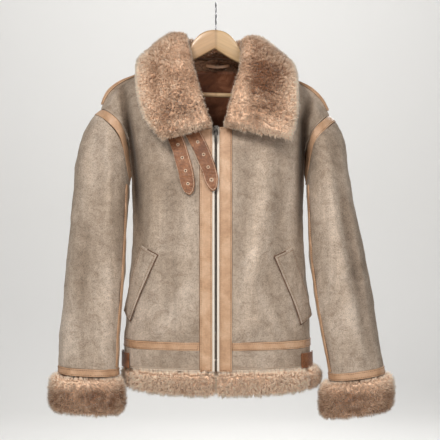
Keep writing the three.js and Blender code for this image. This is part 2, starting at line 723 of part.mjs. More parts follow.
for (const [name, sheet] of roundWaist(TAPE_HEIGHTS)) {
  add(`waist_tape_${name}`, wall(sheet, { raise: RAISE, trim: ALL_ROUND }), finish.tan);
}
for (const [name, sheet] of roundWaist(BAND_HEIGHTS)) {
  add(`waistband_${name}`, wall(sheet, { raise: bandRaise, trim: ALL_ROUND }), finish.suede);
}

// The fur hem: a rounded section carried round the trunk below the band
const HEM_STEPS = 12;
const FUR_SIDES = 12; // points round a section of the fur
function hemRing(side, degrees) {
  const middle = (PIPING_END_Z + FUR_END_Z) / 2;
  const at = (z, angle) => ringPoint(side, z, angle);
  const along = at(middle, degrees + 1).sub(at(middle, degrees - 1)).normalize();
  const out = vector(-along.y, along.x, 0).multiplyScalar(-side);
  const turned = Math.sin(degToRad(degrees)) ** 2;
  const facing = degrees < 90 ? HEM_FUR.front : HEM_FUR.back;
  const proud = lerp(facing, HEM_FUR[sideName(side)], turned);
  const inward = SKIN + HEM_FUR.inside;
  const lift = 3.5 * turned;
  const tall = (PIPING_END_Z - SEAM / 2 - FUR_END_Z - lift * 2) / 2;
  return Array.from({ length: FUR_SIDES }, (_, j) => {
    const angle = (2 * Math.PI * j) / FUR_SIDES;
    const across = (proud - inward) / 2 + ((proud + inward) / 2) * rounded(Math.cos(angle), 0.7);
    const up = middle - SEAM / 4 + lift + tall * rounded(Math.sin(angle), 0.7);
    return at(middle, degrees).addScaledVector(out, across).setZ(up);
  });
}

const HEM_GAP = 0.2; // degrees between the pieces of fur
const hemAngle = (side, share, from, to) => hemRing(side, lerp(from, to, share));
for (const [name, side] of Object.entries(SIDES)) {
  const from = angleAt(side, FUR_END_Z, 0.3);
  const to = seamAngle(FUR_END_Z) - HEM_GAP / 2;
  const rings = steps(HEM_STEPS).map((s) => hemAngle(side, s, from, to));
  add(`hem_fur_${name}`, loft(rings), finish.fur);
}
const hemBack = (side) => {
  const to = seamAngle(FUR_END_Z) + HEM_GAP / 2;
  return steps(HEM_STEPS).map((s) => hemAngle(side, s, 180, to));
};
add("hem_fur_back", loft([...hemBack(-1).reverse(), ...hemBack(1).slice(1)]), finish.fur);

// The zip: teeth, a tape and a placket each side, all following the chest
const zipHeights = (from, to, count) => steps(count).map((s) => lerp(from, to, s));
function chestStrip(from, to, cols, heights) {
  return sheetOf(heights.map((z) => steps(cols).map((s) => chestPoint(lerp(from, to, s), z))), 1);
}

const TEETH_TOP_Z = -270;
const teeth = chestStrip(TEETH_HALF, -TEETH_HALF, 2, zipHeights(PIPING_END_Z, TEETH_TOP_Z, 10));
teeth.normals.forEach((row) => row.forEach((normal) => normal.set(0, -1, 0)));
add("zip_teeth", wall(teeth, { thick: 2 }), finish.zip);
for (const [name, side] of Object.entries(SIDES)) {
  const heights = zipHeights(PIPING_END_Z + SEAM, PLACKET_TOP_Z, 12);
  const tapeFrom = side * (TEETH_HALF + SEAM);
  const tape = chestStrip(tapeFrom, side * (ZIP_TAPE_HALF - SEAM), 1, heights);
  const placket = chestStrip(side * ZIP_TAPE_HALF, side * (PLACKET_HALF - SEAM), 3, heights);
  for (const sheet of [tape, placket]) {
    for (const normal of sheet.normals.flat()) normal.multiplyScalar(-side);
  }
  add(`zip_tape_${name}`, wall(tape, { raise: -1, thick: 1.5 }), finish.tape);
  add(`placket_${name}`, wall(placket, { raise: RAISE }), finish.tan);
}

// Small shapes for the slider and its pull
function block(wide, deep, tall, x, y, z) {
  return solidOf(new THREE.BoxGeometry(wide, deep, tall).translate(x, y, z));
}

function rodAcross(radius, length, y, z, segments = 16) {
  const rod = new THREE.CylinderGeometry(radius, radius, length, segments).rotateZ(Math.PI / 2);
  return solidOf(rod.translate(0, y, z));
}

const SLIDER_Z = -260; // middle of the slider
const PIN_Y = -104; // the pin that the pull turns on
const sliderFace = chestPoint(0, SLIDER_Z).y;
const slider = wasm.Manifold.union([
  block(9, 4.4, 18, 0, sliderFace - 2.9, SLIDER_Z),
  block(1.6, 8, 7, -3.4, PIN_Y + 2, SLIDER_Z),
  block(1.6, 8, 7, 3.4, PIN_Y + 2, SLIDER_Z),
  rodAcross(0.8, 7, PIN_Y, SLIDER_Z),
]);
add("zip_slider", geometryOf(slider), finish.zip);

const pull = wasm.Manifold.union([
  rodAcross(2.2, 4, PIN_Y, SLIDER_Z, 20),
  block(4, 1.6, 6, 0, PIN_Y, SLIDER_Z - 4),
  block(5.5, 1.6, 17, 0, PIN_Y, SLIDER_Z - 14.5),
]).subtract(rodAcross(1.15, 9, PIN_Y, SLIDER_Z, 20));
add("zip_pull", geometryOf(pull), finish.zip);

// The fur cuffs: a rounded section carried round the end of each sleeve
const CUFF_THICK = 36;
for (const [name, side] of Object.entries(SIDES)) {
  const { x, y, z, wide, deep, tall, lean } = CUFF[name];
  const rings = Array.from({ length: LOOP_POINTS }, (_, i) => {
    const angle = (2 * Math.PI * i) / LOOP_POINTS;
    return Array.from({ length: FUR_SIDES }, (_, j) => {
      const turn = (2 * Math.PI * j) / FUR_SIDES;
      const inset = (CUFF_THICK / 2) * (1 - rounded(Math.cos(turn), 0.62));
      const across = (wide - inset) * rounded(Math.cos(angle), 2 / 2.2);
      const along = (deep - inset) * rounded(Math.sin(angle), 2 / 2.2);
      const up = (tall / 2) * rounded(Math.sin(turn), 0.62);
      return vector(side * (x + across), y - along, z + up + lean * across);
    });
  });
  add(`cuff_fur_${name}`, loft(rings, true), finish.fur);
}

// Narrow tapes over the shoulder seams and down the sleeves, a step out from the cloth
const LIFT = 0.8;
function overlay(points, normals, thick, lift = LIFT) {
  const out = (by) =>
    points.map((row, i) => row.map((p, j) => p.clone().addScaledVector(normals[i][j], by)));
  return solidBetween(out(lift + thick), out(lift));
}

// Between two neighbours of a list, at an index with a fraction
function pointAt(list, at) {
  const low = Math.min(Math.floor(at), list.length - 2);
  return list[low].clone().lerp(list[low + 1], at - low);
}

const SEAM_PLACE = 0.44; // share of the way round the sleeve, from its outer edge over the front
for (const name of Object.keys(SIDES)) {
  const { grid: front, normals: frontNormals } = panels[name];
  const { grid: back, normals: backNormals } = panels.back;
  const next = name === "left" ? 1 : -2;
  const first = LOW_ROWS + ARM_ROWS;
  const rows = [first + 0.25, ...steps(SHOULDER_ROWS).map((_, i) => first + i).slice(1, -1)];
  const at = (sheet, column, row) => pointAt(sheet.map((points) => points.at(column)), row);
  const points = rows.map((row) => {
    const ridge = at(front, -1, row);
    const reach = (to) => {
      const towards = to.sub(ridge).normalize();
      return ridge.clone().addScaledVector(towards, SHOULDER_TAPE / 2);
    };
    return [reach(at(front, -2, row)), ridge, reach(at(back, next, row))];
  });
  const normals = rows.map((row) => [
    at(frontNormals, -2, row),
    at(frontNormals, -1, row),
    at(backNormals, next, row),
  ]);
  add(`shoulder_tape_${name}`, overlay(points, normals, 1.6, 1.7), finish.tan);

  const { grid, normals: outward } = arms[name].sleeve;
  const seam = LOOP_POINTS * SEAM_PLACE;
  const seamRows = [...grid.map((_, i) => i).slice(3, -1), grid.length - 1.05];
  const onSleeve = (sheet) =>
    seamRows.map((row) =>
      [seam - 0.2, seam + 0.2].map((column) => pointAt(sheet.map((ring) => pointAt(ring, column)), row)),
    );
  add(`sleeve_seam_tape_${name}`, overlay(onSleeve(grid), onSleeve(outward), 1.2), finish.tan);
}

// The collar: one folded sheepskin, up from the neck seam and over its roll
const COLLAR_COLUMNS = { stand: [0, 0.4, 0.75], fall: [0, 0.14, 0.32, 0.54, 0.76, 0.92, 1] };
const FUR_PROFILE = [0.3, 0.75, 1, 1, 1, 1, 1, 1, 0.82, 0.35];
const COLLAR_SECTIONS = 28;
function collarSheet() {
  const left = COLLAR.left.map((row) => [-1, row]);
  const right = COLLAR.right.slice(0, -1).reverse().map((row) => [1, row]);
  const track = (x, y, z) => {
    const points = [...left, ...right].map(([side, row]) => vector(side * row[x], row[y], row[z]));
    return new THREE.CatmullRomCurve3(points, false, "centripetal");
  };
  const [neck, roll, free] = [track("nx", "ny", "nz"), track("rx", "ry", "rz"), track("fx", "fy", "fz")];
  const grid = steps(COLLAR_SECTIONS).map((s) => {
    const [n, r, f] = [neck.getPoint(s), roll.getPoint(s), free.getPoint(s)];
    const up = r.clone().sub(n);
    const stand = up.length();
    const out = f.clone().sub(n).projectOnPlane(up.clone().normalize()).normalize();
    const fall = f.clone().sub(r);
    const curve = (a, b, c, d) => new THREE.CubicBezierCurve3(a, b, c, d);
    const under = r.clone().addScaledVector(out, -stand * 0.3);
    const rise = curve(n, n.clone().addScaledVector(up, 0.45), under, r);
    const over = r.clone().addScaledVector(out, fall.length() * 0.26);
    const drop = curve(r, over, f.clone().addScaledVector(fall, -0.32), f);
    const { stand: lower, fall: upper } = COLLAR_COLUMNS;
    return [...lower.map((t) => rise.getPoint(t)), ...upper.map((t) => drop.getPoint(t))];
  });
  return sheetOf(grid, 1);
}

const FUR_SHARE = 0.58; // of the collar's thickness, on the side of the fur
const collar = collarSheet();
const collarHalf = (share) => (i, j) => {
  const end = Math.min(i, COLLAR_SECTIONS - i);
  const taper = [0.4, 0.85][end] ?? 1;
  return share * COLLAR_THICK * FUR_PROFILE[j] * taper;
};
const furFace = moved(collar, collarHalf(FUR_SHARE));
const skinFace = moved(collar, collarHalf(FUR_SHARE - 1));
add("collar", solidBetween(furFace, skinFace), finish.fur);

// Lining, seen only inside the back of the neck, and the loop above it
const LINING_COLUMNS = 3;
const backMiddle = (panels.back.grid[0].length - 1) / 2;
const liningRows = panels.back.grid.map((_, i) => i).slice(LOW_ROWS + 1, -1);
const liningPart = (list) => {
  const [from, to] = [backMiddle - LINING_COLUMNS, backMiddle + LINING_COLUMNS + 1];
  return liningRows.map((i) => list[i].slice(from, to));
};
const liningSheet = { grid: liningPart(panels.back.grid), normals: liningPart(panels.back.normals) };
const liningInner = moved(liningSheet, -SKIN - 2.5);
add("lining_back", solidBetween(moved(liningSheet, -SKIN - 0.5), liningInner), finish.lining);

const LOOP_WIDE = 48;
const loopGrid = [0, -6].map((drop) =>
  steps(10).map((s) => {
    const sag = Math.sin(Math.PI * s);
    return vector(3 + LOOP_WIDE * (s - 0.5), 65 - 3 * sag, drop - 112 - 3.5 * sag);
  }),
);
const loopBack = loopGrid.map((row) => row.map((p) => p.clone().add(vector(0, 2, 0))));
add("hang_loop", solidBetween(loopGrid, loopBack), finish.brown);

// What lies on the chest takes its depth from the finished pieces beneath it
model.updateMatrixWorld(true);
const caster = new THREE.Raycaster();
function chestDepth(x, z) {
  caster.set(vector(x, -400, z), vector(0, 1, 0));
  const under = model.children.filter((piece) => /^(front|placket)_/.test(piece.name));
  return caster.intersectObjects(under)[0]?.point.y ?? -100;
}

// A collar strap: a bent leather strip with a rounded point and punched holes
const STRAP_ROWS = 12;
for (const [name, { topX, topZ, tipX, tipZ, swing, lift }] of Object.entries(STRAPS)) {
  const line = (s) => vector(lerp(topX, tipX, s) + swing * Math.sin(Math.PI * s), 0, lerp(topZ, tipZ, s));
  const frame = (s) => {
    const ahead = line(Math.min(s + 0.01, 1)).sub(line(Math.max(s - 0.01, 0))).normalize();
    return { middle: line(s), across: vector(-ahead.z, 0, ahead.x) };
  };
  const length = Math.hypot(tipX - topX, tipZ - topZ);
  const halfWide = (s) => {
    const left = (1 - s) * length;
    return (STRAP_WIDE / 2) * Math.min(1, 0.12 + 0.88 * Math.sqrt(left / 24));
  };
  const depths = steps(STRAP_ROWS).map((s) => {
    const { middle, across } = frame(s);
    const aside = [-0.5, -0.25, 0, 0.25, 0.5].map((k) => k * STRAP_WIDE);
    const samples = aside.map((k) => middle.clone().addScaledVector(across, k));
    return Math.min(...samples.map((p) => chestDepth(p.x, p.z)));
  });
  const shares = [...steps(STRAP_ROWS - 4).map((s) => s * 0.82), 0.88, 0.93, 0.97, 1];
  const surface = (offset) =>
    shares.map((s) => {
      const { middle, across } = frame(s);
      const at = s * STRAP_ROWS;
      const low = Math.min(Math.floor(at), STRAP_ROWS - 1);
      const depth = Math.min(depths[low], depths[low + 1]) - 0.1 - lift * s ** 3 - offset;
      return [-1, 0, 1].map((k) => {
        const p = middle.clone().addScaledVector(across, k * halfWide(s));
        return vector(p.x, depth, p.z);
      });
    });
  let strap = solidOf(solidBetween(surface(LEATHER), surface(0)));
  for (const hole of [0, 1, 2, 3]) {
    const { middle } = frame(1 - (22 + hole * HOLE_PITCH) / length);
    const drill = new THREE.CylinderGeometry(HOLE_R, HOLE_R, 60, 12).translate(middle.x, -115, middle.z);
    strap = strap.subtract(solidOf(drill));
  }
  add(name, geometryOf(strap), finish.brown);
}

// Pocket welts and side tabs lie on the trunk's face, a small step out from it
function patchOn(side, corner, cols, rows, thick) {
  const points = steps(rows).map((v) =>
    steps(cols).map((u) => {
      const { angle, z } = corner(u, v);
      return ringPoint(side, z, angle);
    }),
  );
  const sheet = sheetOf(points, -side);
  const down = points.at(-1)[0].z < points[0][0].z ? -1 : 1;
  for (const normal of sheet.normals.flat()) normal.multiplyScalar(down);
  return solidBetween(moved(sheet, LIFT + thick), moved(sheet, LIFT));
}

for (const [name, side] of Object.entries(SIDES)) {
  const { top, low } = WELTS[name];
  const welt = (u, v) => ({
    angle: lerp(lerp(top.inner, top.outer, u), lerp(low.inner, low.outer, u), v),
    z: lerp(lerp(top.innerZ, top.outerZ, u), lerp(low.innerZ, low.outerZ, u), v),
  });
  add(`pocket_welt_${name}`, patchOn(side, welt, 4, 6, 4), finish.suede);
  const from = name === "left" ? 64 : 58.6;
  const tab = (u, v) => ({ angle: lerp(from, from + 31, u), z: lerp(-692, PIPING_END_Z + 0.5, v) });
  add(`side_tab_${name}`, patchOn(side, tab, 5, 2, LEATHER), finish.brown);
}

// The hanger: a shaped board, the bar below it and the wire hook
function hangerBoard() {
  const section = ({ x, top, low, thick }) => {
    const [y, cut] = [thick / 2, 2.5];
    const outline = [
      [y, top - cut],
      [y - cut, top],
      [cut - y, top],
      [-y, top - cut],
      [-y, low + cut],
      [cut - y, low],
      [y - cut, low],
      [y, low + cut],
    ];
    return outline.map(([across, z]) => vector(x, across, z));
  };
  const right = HANGER.map(section);
  const left = HANGER.slice(1).reverse().map((part) => section({ ...part, x: -part.x }));
  return solidOf(loft([...left, ...right]));
}

const barLength = 336;
const socket = rodAcross(BAR_R + SEAM, barLength + 2, 0, -BAR_DROP, 20);
const board = hangerBoard().subtract(socket);
const bar = rodAcross(BAR_R, barLength, 0, -BAR_DROP, 20);
add("hanger_board", geometryOf(board).rotateY(HANGER_TILT), finish.wood);
add("hanger_bar", geometryOf(bar).rotateY(HANGER_TILT), finish.wood);

function hookPath() {
  const centre = -(HOOK_R - WIRE_R);
  const curl = steps(14).map((s) => {
    const angle = lerp(-0.22, 1.06, s) * Math.PI;
    return vector(0, HOOK_R * Math.cos(angle), centre + HOOK_R * Math.sin(angle));
  });
  const stem = [vector(0, 0, -HOOK_STEM + SEAM), vector(0, 0, -44), vector(0, 2.5, -36.5)];
  return new THREE.CatmullRomCurve3([...stem, ...curl], false, "centripetal");
}

const hook = hookPath();
const hookRings = steps(26).map((s) => {
  const [middle, ahead] = [hook.getPointAt(s), hook.getTangentAt(s)];
  const across = vector(1, 0, 0);
  const up = ahead.clone().cross(across);
  return Array.from({ length: 7 }, (_, j) => {
    const angle = (2 * Math.PI * j) / 7;
    const turned = middle.clone().addScaledVector(across, WIRE_R * Math.cos(angle));
    return turned.addScaledVector(up, WIRE_R * Math.sin(angle));
  });
});
add("hanger_hook", loft(hookRings), finish.steel);

export default model;
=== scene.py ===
import math

import bmesh
import bpy
import numpy as np
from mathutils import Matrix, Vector


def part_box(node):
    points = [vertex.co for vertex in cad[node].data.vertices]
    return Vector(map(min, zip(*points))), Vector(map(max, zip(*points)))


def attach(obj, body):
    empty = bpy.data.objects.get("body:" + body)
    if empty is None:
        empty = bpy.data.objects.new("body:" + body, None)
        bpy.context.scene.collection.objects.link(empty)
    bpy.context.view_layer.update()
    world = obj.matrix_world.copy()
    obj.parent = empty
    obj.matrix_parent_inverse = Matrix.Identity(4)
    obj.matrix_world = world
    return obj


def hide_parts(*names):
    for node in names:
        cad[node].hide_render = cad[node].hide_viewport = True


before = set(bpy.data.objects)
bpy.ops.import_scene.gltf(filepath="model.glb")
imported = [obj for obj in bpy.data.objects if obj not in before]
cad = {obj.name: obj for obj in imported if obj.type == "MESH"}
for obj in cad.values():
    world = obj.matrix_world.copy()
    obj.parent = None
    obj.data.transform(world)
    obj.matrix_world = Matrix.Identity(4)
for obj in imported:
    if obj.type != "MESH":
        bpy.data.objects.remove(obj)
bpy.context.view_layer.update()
print("frame loaded:", len(cad), "nodes")

# camera, lights and stage

viewpoint = {"x": 0.008, "y": -2.4, "z": -0.432, "width": 0.88, "sensor": 36.0}
camera = bpy.data.objects.new("camera", bpy.data.cameras.new("camera"))
bpy.context.scene.collection.objects.link(camera)
camera.location = (viewpoint["x"], viewpoint["y"], viewpoint["z"])
camera.rotation_euler = (math.radians(90), 0, 0)
camera.data.sensor_width = viewpoint["sensor"]
camera.data.lens = viewpoint["sensor"] * -viewpoint["y"] / viewpoint["width"]
camera.data.clip_start = 0.05
bpy.context.scene.camera = camera

lamps = {
    "key": {"at": (-0.75, -1.95, 0.75), "to": (0, 0, -0.40), "size": 0.6, "watts": 31,
            "colour": (1.0, 0.965, 0.925)},
    "fill": {"at": (0.75, -2.0, 0.35), "to": (0, 0, -0.35), "size": 1.0, "watts": 18,
             "colour": (1.0, 0.965, 0.94)},
    "back": {"at": (0.6, 2.0, 0.7), "to": (0, 0, -0.45), "size": 1.2, "watts": 26,
             "colour": (1.0, 1.0, 1.0)},
    "wash": {"at": (0, 1.2, 1.6), "to": (0, 3.4, 0.0), "size": 2.4, "watts": 55,
             "colour": (1.0, 1.0, 1.0)},
}
for name, lamp in lamps.items():
    light = bpy.data.objects.new(name, bpy.data.lights.new(name, "AREA"))
    bpy.context.scene.collection.objects.link(light)
    light.location = lamp["at"]
    light.rotation_euler = (Vector(lamp["to"]) - Vector(lamp["at"])).to_track_quat("-Z", "Y").to_euler()
    light.visible_camera = False
    light.data.size = lamp["size"]
    light.data.energy = lamp["watts"]
    light.data.color = lamp["colour"]

bpy.context.scene.view_settings.view_transform = "Standard"
world = bpy.data.worlds.new("studio")
bpy.context.scene.world = world
world.use_nodes = True
world.node_tree.nodes["Background"].inputs["Color"].default_value = (0.80, 0.82, 0.84, 1)
world.node_tree.nodes["Background"].inputs["Strength"].default_value = 0.19


# meshes from whole arrays

def meshFrom(name, points, faces):
    # a smooth mesh from an array of points and lists of their numbers, one for each face
    mesh = bpy.data.meshes.new(name)
    mesh.from_pydata(points.tolist(), [], faces)
    mesh.polygons.foreach_set("use_smooth", np.ones(len(mesh.polygons), bool))
    return mesh


def pieceFrom(name, mesh, material, slotName, *replaced, body="jacket"):
    # an object of one mesh and one material, which rides on its body and takes the place of CAD nodes
    piece = bpy.data.objects.new(name, mesh)
    bpy.context.scene.collection.objects.link(piece)
    mesh.materials.clear()
    mesh.materials.append(material)
    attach(piece, body)
    if replaced:
        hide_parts(*replaced)
    return piece


def pointsOf(mesh):
    # the mesh's points, one row each
    points = np.empty(len(mesh.vertices) * 3)
    mesh.vertices.foreach_get("co", points)
    return points.reshape(-1, 3)


def normalsOf(mesh):
    # the normals at the mesh's points, one row each
    normals = np.empty(len(mesh.vertices) * 3)
    mesh.vertices.foreach_get("normal", normals)
    return normals.reshape(-1, 3)


def setPoints(mesh, points):
    # puts the mesh's points at new places
    mesh.vertices.foreach_set("co", points.ravel())
    mesh.update()


def putAttribute(mesh, name, values):
    # a number at each point, for the materials to read
    mesh.attributes.new(name, "FLOAT", "POINT").data.foreach_set("value", values.astype(np.float32))


def mergedMesh(node, crease=1.0, sharpFrom=50):
    # a CAD node's mesh, merged, its quads joined and its rims marked to stay sharp
    bm = bmesh.new()
    bm.from_mesh(cad[node].data)
    bmesh.ops.remove_doubles(bm, verts=bm.verts, dist=2e-5)
    bmesh.ops.join_triangles(bm, faces=bm.faces, angle_face_threshold=math.radians(40),
                             angle_shape_threshold=math.radians(80))
    creases = bm.edges.layers.float.new("crease_edge")
    for edge in bm.edges:
        if len(edge.link_faces) == 2 and edge.calc_face_angle(0) > math.radians(sharpFrom):
            edge[creases] = crease
    mesh = bpy.data.meshes.new(node + "_merged")
    bm.to_mesh(mesh)
    bm.free()
    return mesh


def withModifiers(mesh, *wanted):
    # the mesh that the modifiers give, each a kind and its settings
    holder = bpy.data.objects.new("holder", mesh)
    bpy.context.scene.collection.objects.link(holder)
    for kind, settings in wanted:
        modifier = holder.modifiers.new(kind, kind)
        for key, value in settings.items():
            setattr(modifier, key, value)
    done = bpy.data.meshes.new_from_object(holder.evaluated_get(bpy.context.evaluated_depsgraph_get()))
    bpy.data.objects.remove(holder)
    done.polygons.foreach_set("use_smooth", np.ones(len(done.polygons), bool))
    return done


def finer(mesh, levels):
    # the mesh subdivided, its creased edges kept
    return withModifiers(mesh, ("SUBSURF", {"levels": levels, "render_levels": levels}))


def roundedRims(mesh, width, segments=2):
    # the mesh with the edges that turn by more than 45 degrees rounded over
    return withModifiers(mesh, ("BEVEL", {"width": width, "segments": segments, "limit_method": "ANGLE",
                                          "angle_limit": math.radians(45)}))


# soft noise and folds on arrays of points

def waves(points, size, seed, count=18):
    # a sum of sine waves in random directions, about as long as size, mostly from -1 to 1
    rng = np.random.default_rng(seed)
    ways = rng.normal(size=(count, 3))
    ways /= np.linalg.norm(ways, axis=1)[:, None]
    rates = 2 * np.pi / (size * rng.uniform(0.6, 1.7, count))
    phases = rng.uniform(0, 2 * np.pi, count)
    return np.sin(points @ (ways * rates[:, None]).T + phases).sum(1) / math.sqrt(count * 0.5) * 0.5


# material helpers

def newMaterial(name):
    # a material with its node tree and its main shader
    material = bpy.data.materials.new(name)
    material.use_nodes = True
    return material, material.node_tree, material.node_tree.nodes["Principled BSDF"]


def coordsOf(tree, scale=(1, 1, 1)):
    # the object's own coordinates in metres, times a scale
    where = tree.nodes.new("ShaderNodeTexCoord")
    if scale == (1, 1, 1):
        return where.outputs["Object"]
    mapping = tree.nodes.new("ShaderNodeMapping")
    mapping.inputs["Scale"].default_value = scale
    tree.links.new(where.outputs["Object"], mapping.inputs["Vector"])
    return mapping.outputs["Vector"]


def noiseOf(tree, coords, scale, detail=3.0, roughness=0.5, distortion=0.0):
    # cloudy noise from 0 to 1, scale clouds to the metre
    noise = tree.nodes.new("ShaderNodeTexNoise")
    noise.inputs["Scale"].default_value = scale
    noise.inputs["Detail"].default_value = detail
    noise.inputs["Roughness"].default_value = roughness
    noise.inputs["Distortion"].default_value = distortion
    tree.links.new(coords, noise.inputs["Vector"])
    return noise.outputs["Fac"]


def rampOf(tree, source, stops):
    # the colour that the stops give for a value, each a value and its colour
    ramp = tree.nodes.new("ShaderNodeValToRGB")
    ramp.color_ramp.elements.remove(ramp.color_ramp.elements[1])
    for i, (at, colour) in enumerate(stops):
        stop = ramp.color_ramp.elements[0] if i == 0 else ramp.color_ramp.elements.new(at)
        stop.position = at
        stop.color = (*colour, 1)
    tree.links.new(source, ramp.inputs["Fac"])
    return ramp.outputs["Color"]


def mixOf(tree, factor, first, second, blend="MIX"):
    # two colours mixed by a factor, each a socket or a constant
    mix = tree.nodes.new("ShaderNodeMix")
    mix.data_type = "RGBA"
    mix.blend_type = blend
    for socket, value in ((mix.inputs[0], factor), (mix.inputs[6], first), (mix.inputs[7], second)):
        if isinstance(value, bpy.types.NodeSocket):
            tree.links.new(value, socket)
        else:
            socket.default_value = value if socket == mix.inputs[0] else (*value, 1)
    return mix.outputs[2]


def bumpOf(tree, height, distance, strength=1.0, normal=None):
    # a normal tilted by a height that stands for a distance in metres, on top of another normal
    bump = tree.nodes.new("ShaderNodeBump")
    bump.inputs["Strength"].default_value = strength
    bump.inputs["Distance"].default_value = distance
    tree.links.new(height, bump.inputs["Height"])
    if normal:
        tree.links.new(normal, bump.inputs["Normal"])
    return bump.outputs["Normal"]


def attributeOf(tree, name):
    # the number that putAttribute left at each point
    attribute = tree.nodes.new("ShaderNodeAttribute")
    attribute.attribute_name = name
    return attribute.outputs["Fac"]


def grey(value):
    # a colour with all three parts the same
    return (value, value, value)


def remapOf(tree, value, low, high):
    # a value from low to high, as 0 to 1
    remap = tree.nodes.new("ShaderNodeMapRange")
    remap.inputs["From Min"].default_value = low
    remap.inputs["From Max"].default_value = high
    tree.links.new(value, remap.inputs["Value"])
    return remap.outputs["Result"]


def cellsOf(tree, coords, scale):
    # the distance to the edge of the nearest cell, scale cells to the metre
    cells = tree.nodes.new("ShaderNodeTexVoronoi")
    cells.feature = "DISTANCE_TO_EDGE"
    cells.inputs["Scale"].default_value = scale
    tree.links.new(coords, cells.inputs["Vector"])
    return cells.outputs["Distance"]


def suedeMaterial():
    # "face" is 1 on the suede face, near 0 on the raw edge and -1 on the woolly inside;
    # "crease" is 1 in a deep crease, darkened there as painted shade, and below 0 on a ridge, lightened there
    # as a painted highlight
    material, tree, shader = newMaterial("suede")
    coords = coordsOf(tree)
    broad = rampOf(tree, noiseOf(tree, coordsOf(tree, (1, 1, 0.6)), 9, 4, 0.62, 0.5),
                   [(0.30, (0.345, 0.268, 0.202)), (0.50, (0.462, 0.370, 0.290)),
                    (0.70, (0.60, 0.500, 0.410))])
    smudge = rampOf(tree, noiseOf(tree, coordsOf(tree, (0.8, 1, 1.2)), 52, 8, 0.76, 0.9),
                    [(0.34, (0.74, 0.70, 0.67)), (0.49, grey(0.97)), (0.64, grey(1.13))])
    streak = rampOf(tree, noiseOf(tree, coordsOf(tree, (1, 1, 0.12)), 95, 4, 0.6, 0.3),
                    [(0.35, grey(0.90)), (0.65, grey(1.06))])
    speck = rampOf(tree, noiseOf(tree, coords, 430, 4, 0.85),
                   [(0.36, grey(0.55)), (0.47, grey(0.96)), (0.64, grey(1.2))])
    # painted shade deep in the folds and a painted highlight on the ridges that swell out, both from the fold
    # depth
    creaseShadeRidgeHighlight = rampOf(tree, remapOf(tree, attributeOf(tree, "crease"), -0.5, 1.0),
                    [(0.0, grey(1.30)), (0.12, grey(1.22)), (0.33, grey(1.0)), (0.55, (0.66, 0.63, 0.60)),
                     (1.0, (0.16, 0.13, 0.11))])
    colour = broad
    for layer in (smudge, streak, speck, creaseShadeRidgeHighlight):
        colour = mixOf(tree, 1.0, colour, layer, "MULTIPLY")
    wool = rampOf(tree, noiseOf(tree, coords, 260, 4, 0.75),
                  [(0.35, (0.16, 0.08, 0.045)), (0.65, (0.40, 0.23, 0.14))])
    side = attributeOf(tree, "face")
    cutEdge = rampOf(tree, side, [(0.10, grey(0)), (0.42, grey(1))])
    inside = rampOf(tree, remapOf(tree, side, -0.75, -0.2), [(0.0, grey(1)), (1.0, grey(0))])
    colour = mixOf(tree, cutEdge, (0.66, 0.56, 0.46), colour)
    tree.links.new(mixOf(tree, inside, colour, wool), shader.inputs["Base Color"])
    nap = bumpOf(tree, noiseOf(tree, coords, 800, 4, 0.75), 0.0012, 0.55)
    soft = bumpOf(tree, noiseOf(tree, coords, 60, 6, 0.62, 0.6), 0.0040, 0.5, nap)
    tree.links.new(soft, shader.inputs["Normal"])
    shader.inputs["Roughness"].default_value = 0.85
    shader.inputs["Specular IOR Level"].default_value = 0.22
    shader.inputs["Sheen Weight"].default_value = 0.18
    shader.inputs["Sheen Roughness"].default_value = 0.4
    shader.inputs["Sheen Tint"].default_value = (0.98, 0.9, 0.8, 1)
    return material


def leatherMaterial(name, dark, middle, light, roughness, grain, wear=(0.9, 1.06), creases=0.0):
    # cloudy tones, fine wear, a cell grain, broad bumps and, where asked, creases across the strap
    material, tree, shader = newMaterial(name)
    coords = coordsOf(tree)
    tone = rampOf(tree, noiseOf(tree, coords, 26, 6, 0.62, 0.4), [(0.32, dark), (0.5, middle), (0.70, light)])
    fine = rampOf(tree, noiseOf(tree, coords, 330, 4, 0.7), [(0.35, grey(wear[0])), (0.62, grey(wear[1]))])
    tree.links.new(mixOf(tree, 1.0, tone, fine, "MULTIPLY"), shader.inputs["Base Color"])
    rough = bumpOf(tree, cellsOf(tree, coords, 620), 0.0007, grain)
    if creases:
        lines = noiseOf(tree, coordsOf(tree, (0.22, 1, 1.5)), 130, 4, 0.6, 0.4)
        rough = bumpOf(tree, lines, 0.0022, creases, rough)
    broad = bumpOf(tree, noiseOf(tree, coords, 110, 5, 0.6), 0.0016, 0.45, rough)
    tree.links.new(broad, shader.inputs["Normal"])
    shader.inputs["Roughness"].default_value = roughness
    shader.inputs["Specular IOR Level"].default_value = 0.42
    return material


def furMaterial(name, root, middle, tip):
    # colour runs from root to tip along "pile", and from brown to pale with "tone", which holds the wool's own
    # tones and, in places, painted light and shade
    material, tree, shader = newMaterial(name)
    coords = coordsOf(tree)
    along = rampOf(tree, attributeOf(tree, "pile"), [(0.0, root), (0.45, middle), (1.0, tip)])
    tone = rampOf(tree, attributeOf(tree, "tone"),
                  [(0.0, (0.34, 0.20, 0.13)), (0.5, (0.84, 0.73, 0.65)), (1.0, (1.24, 1.25, 1.25))])
    fine = rampOf(tree, noiseOf(tree, coords, 210, 3, 0.7), [(0.34, grey(0.78)), (0.66, grey(1.14))])
    colour = mixOf(tree, 1.0, mixOf(tree, 1.0, along, tone, "MULTIPLY"), fine, "MULTIPLY")
    tree.links.new(colour, shader.inputs["Base Color"])
    shader.inputs["Roughness"].default_value = 0.7
    shader.inputs["Specular IOR Level"].default_value = 0.25
    shader.inputs["Sheen Weight"].default_value = 0.6
    shader.inputs["Sheen Roughness"].default_value = 0.4
    shader.inputs["Sheen Tint"].default_value = (1.0, 0.93, 0.84, 1)
    return material


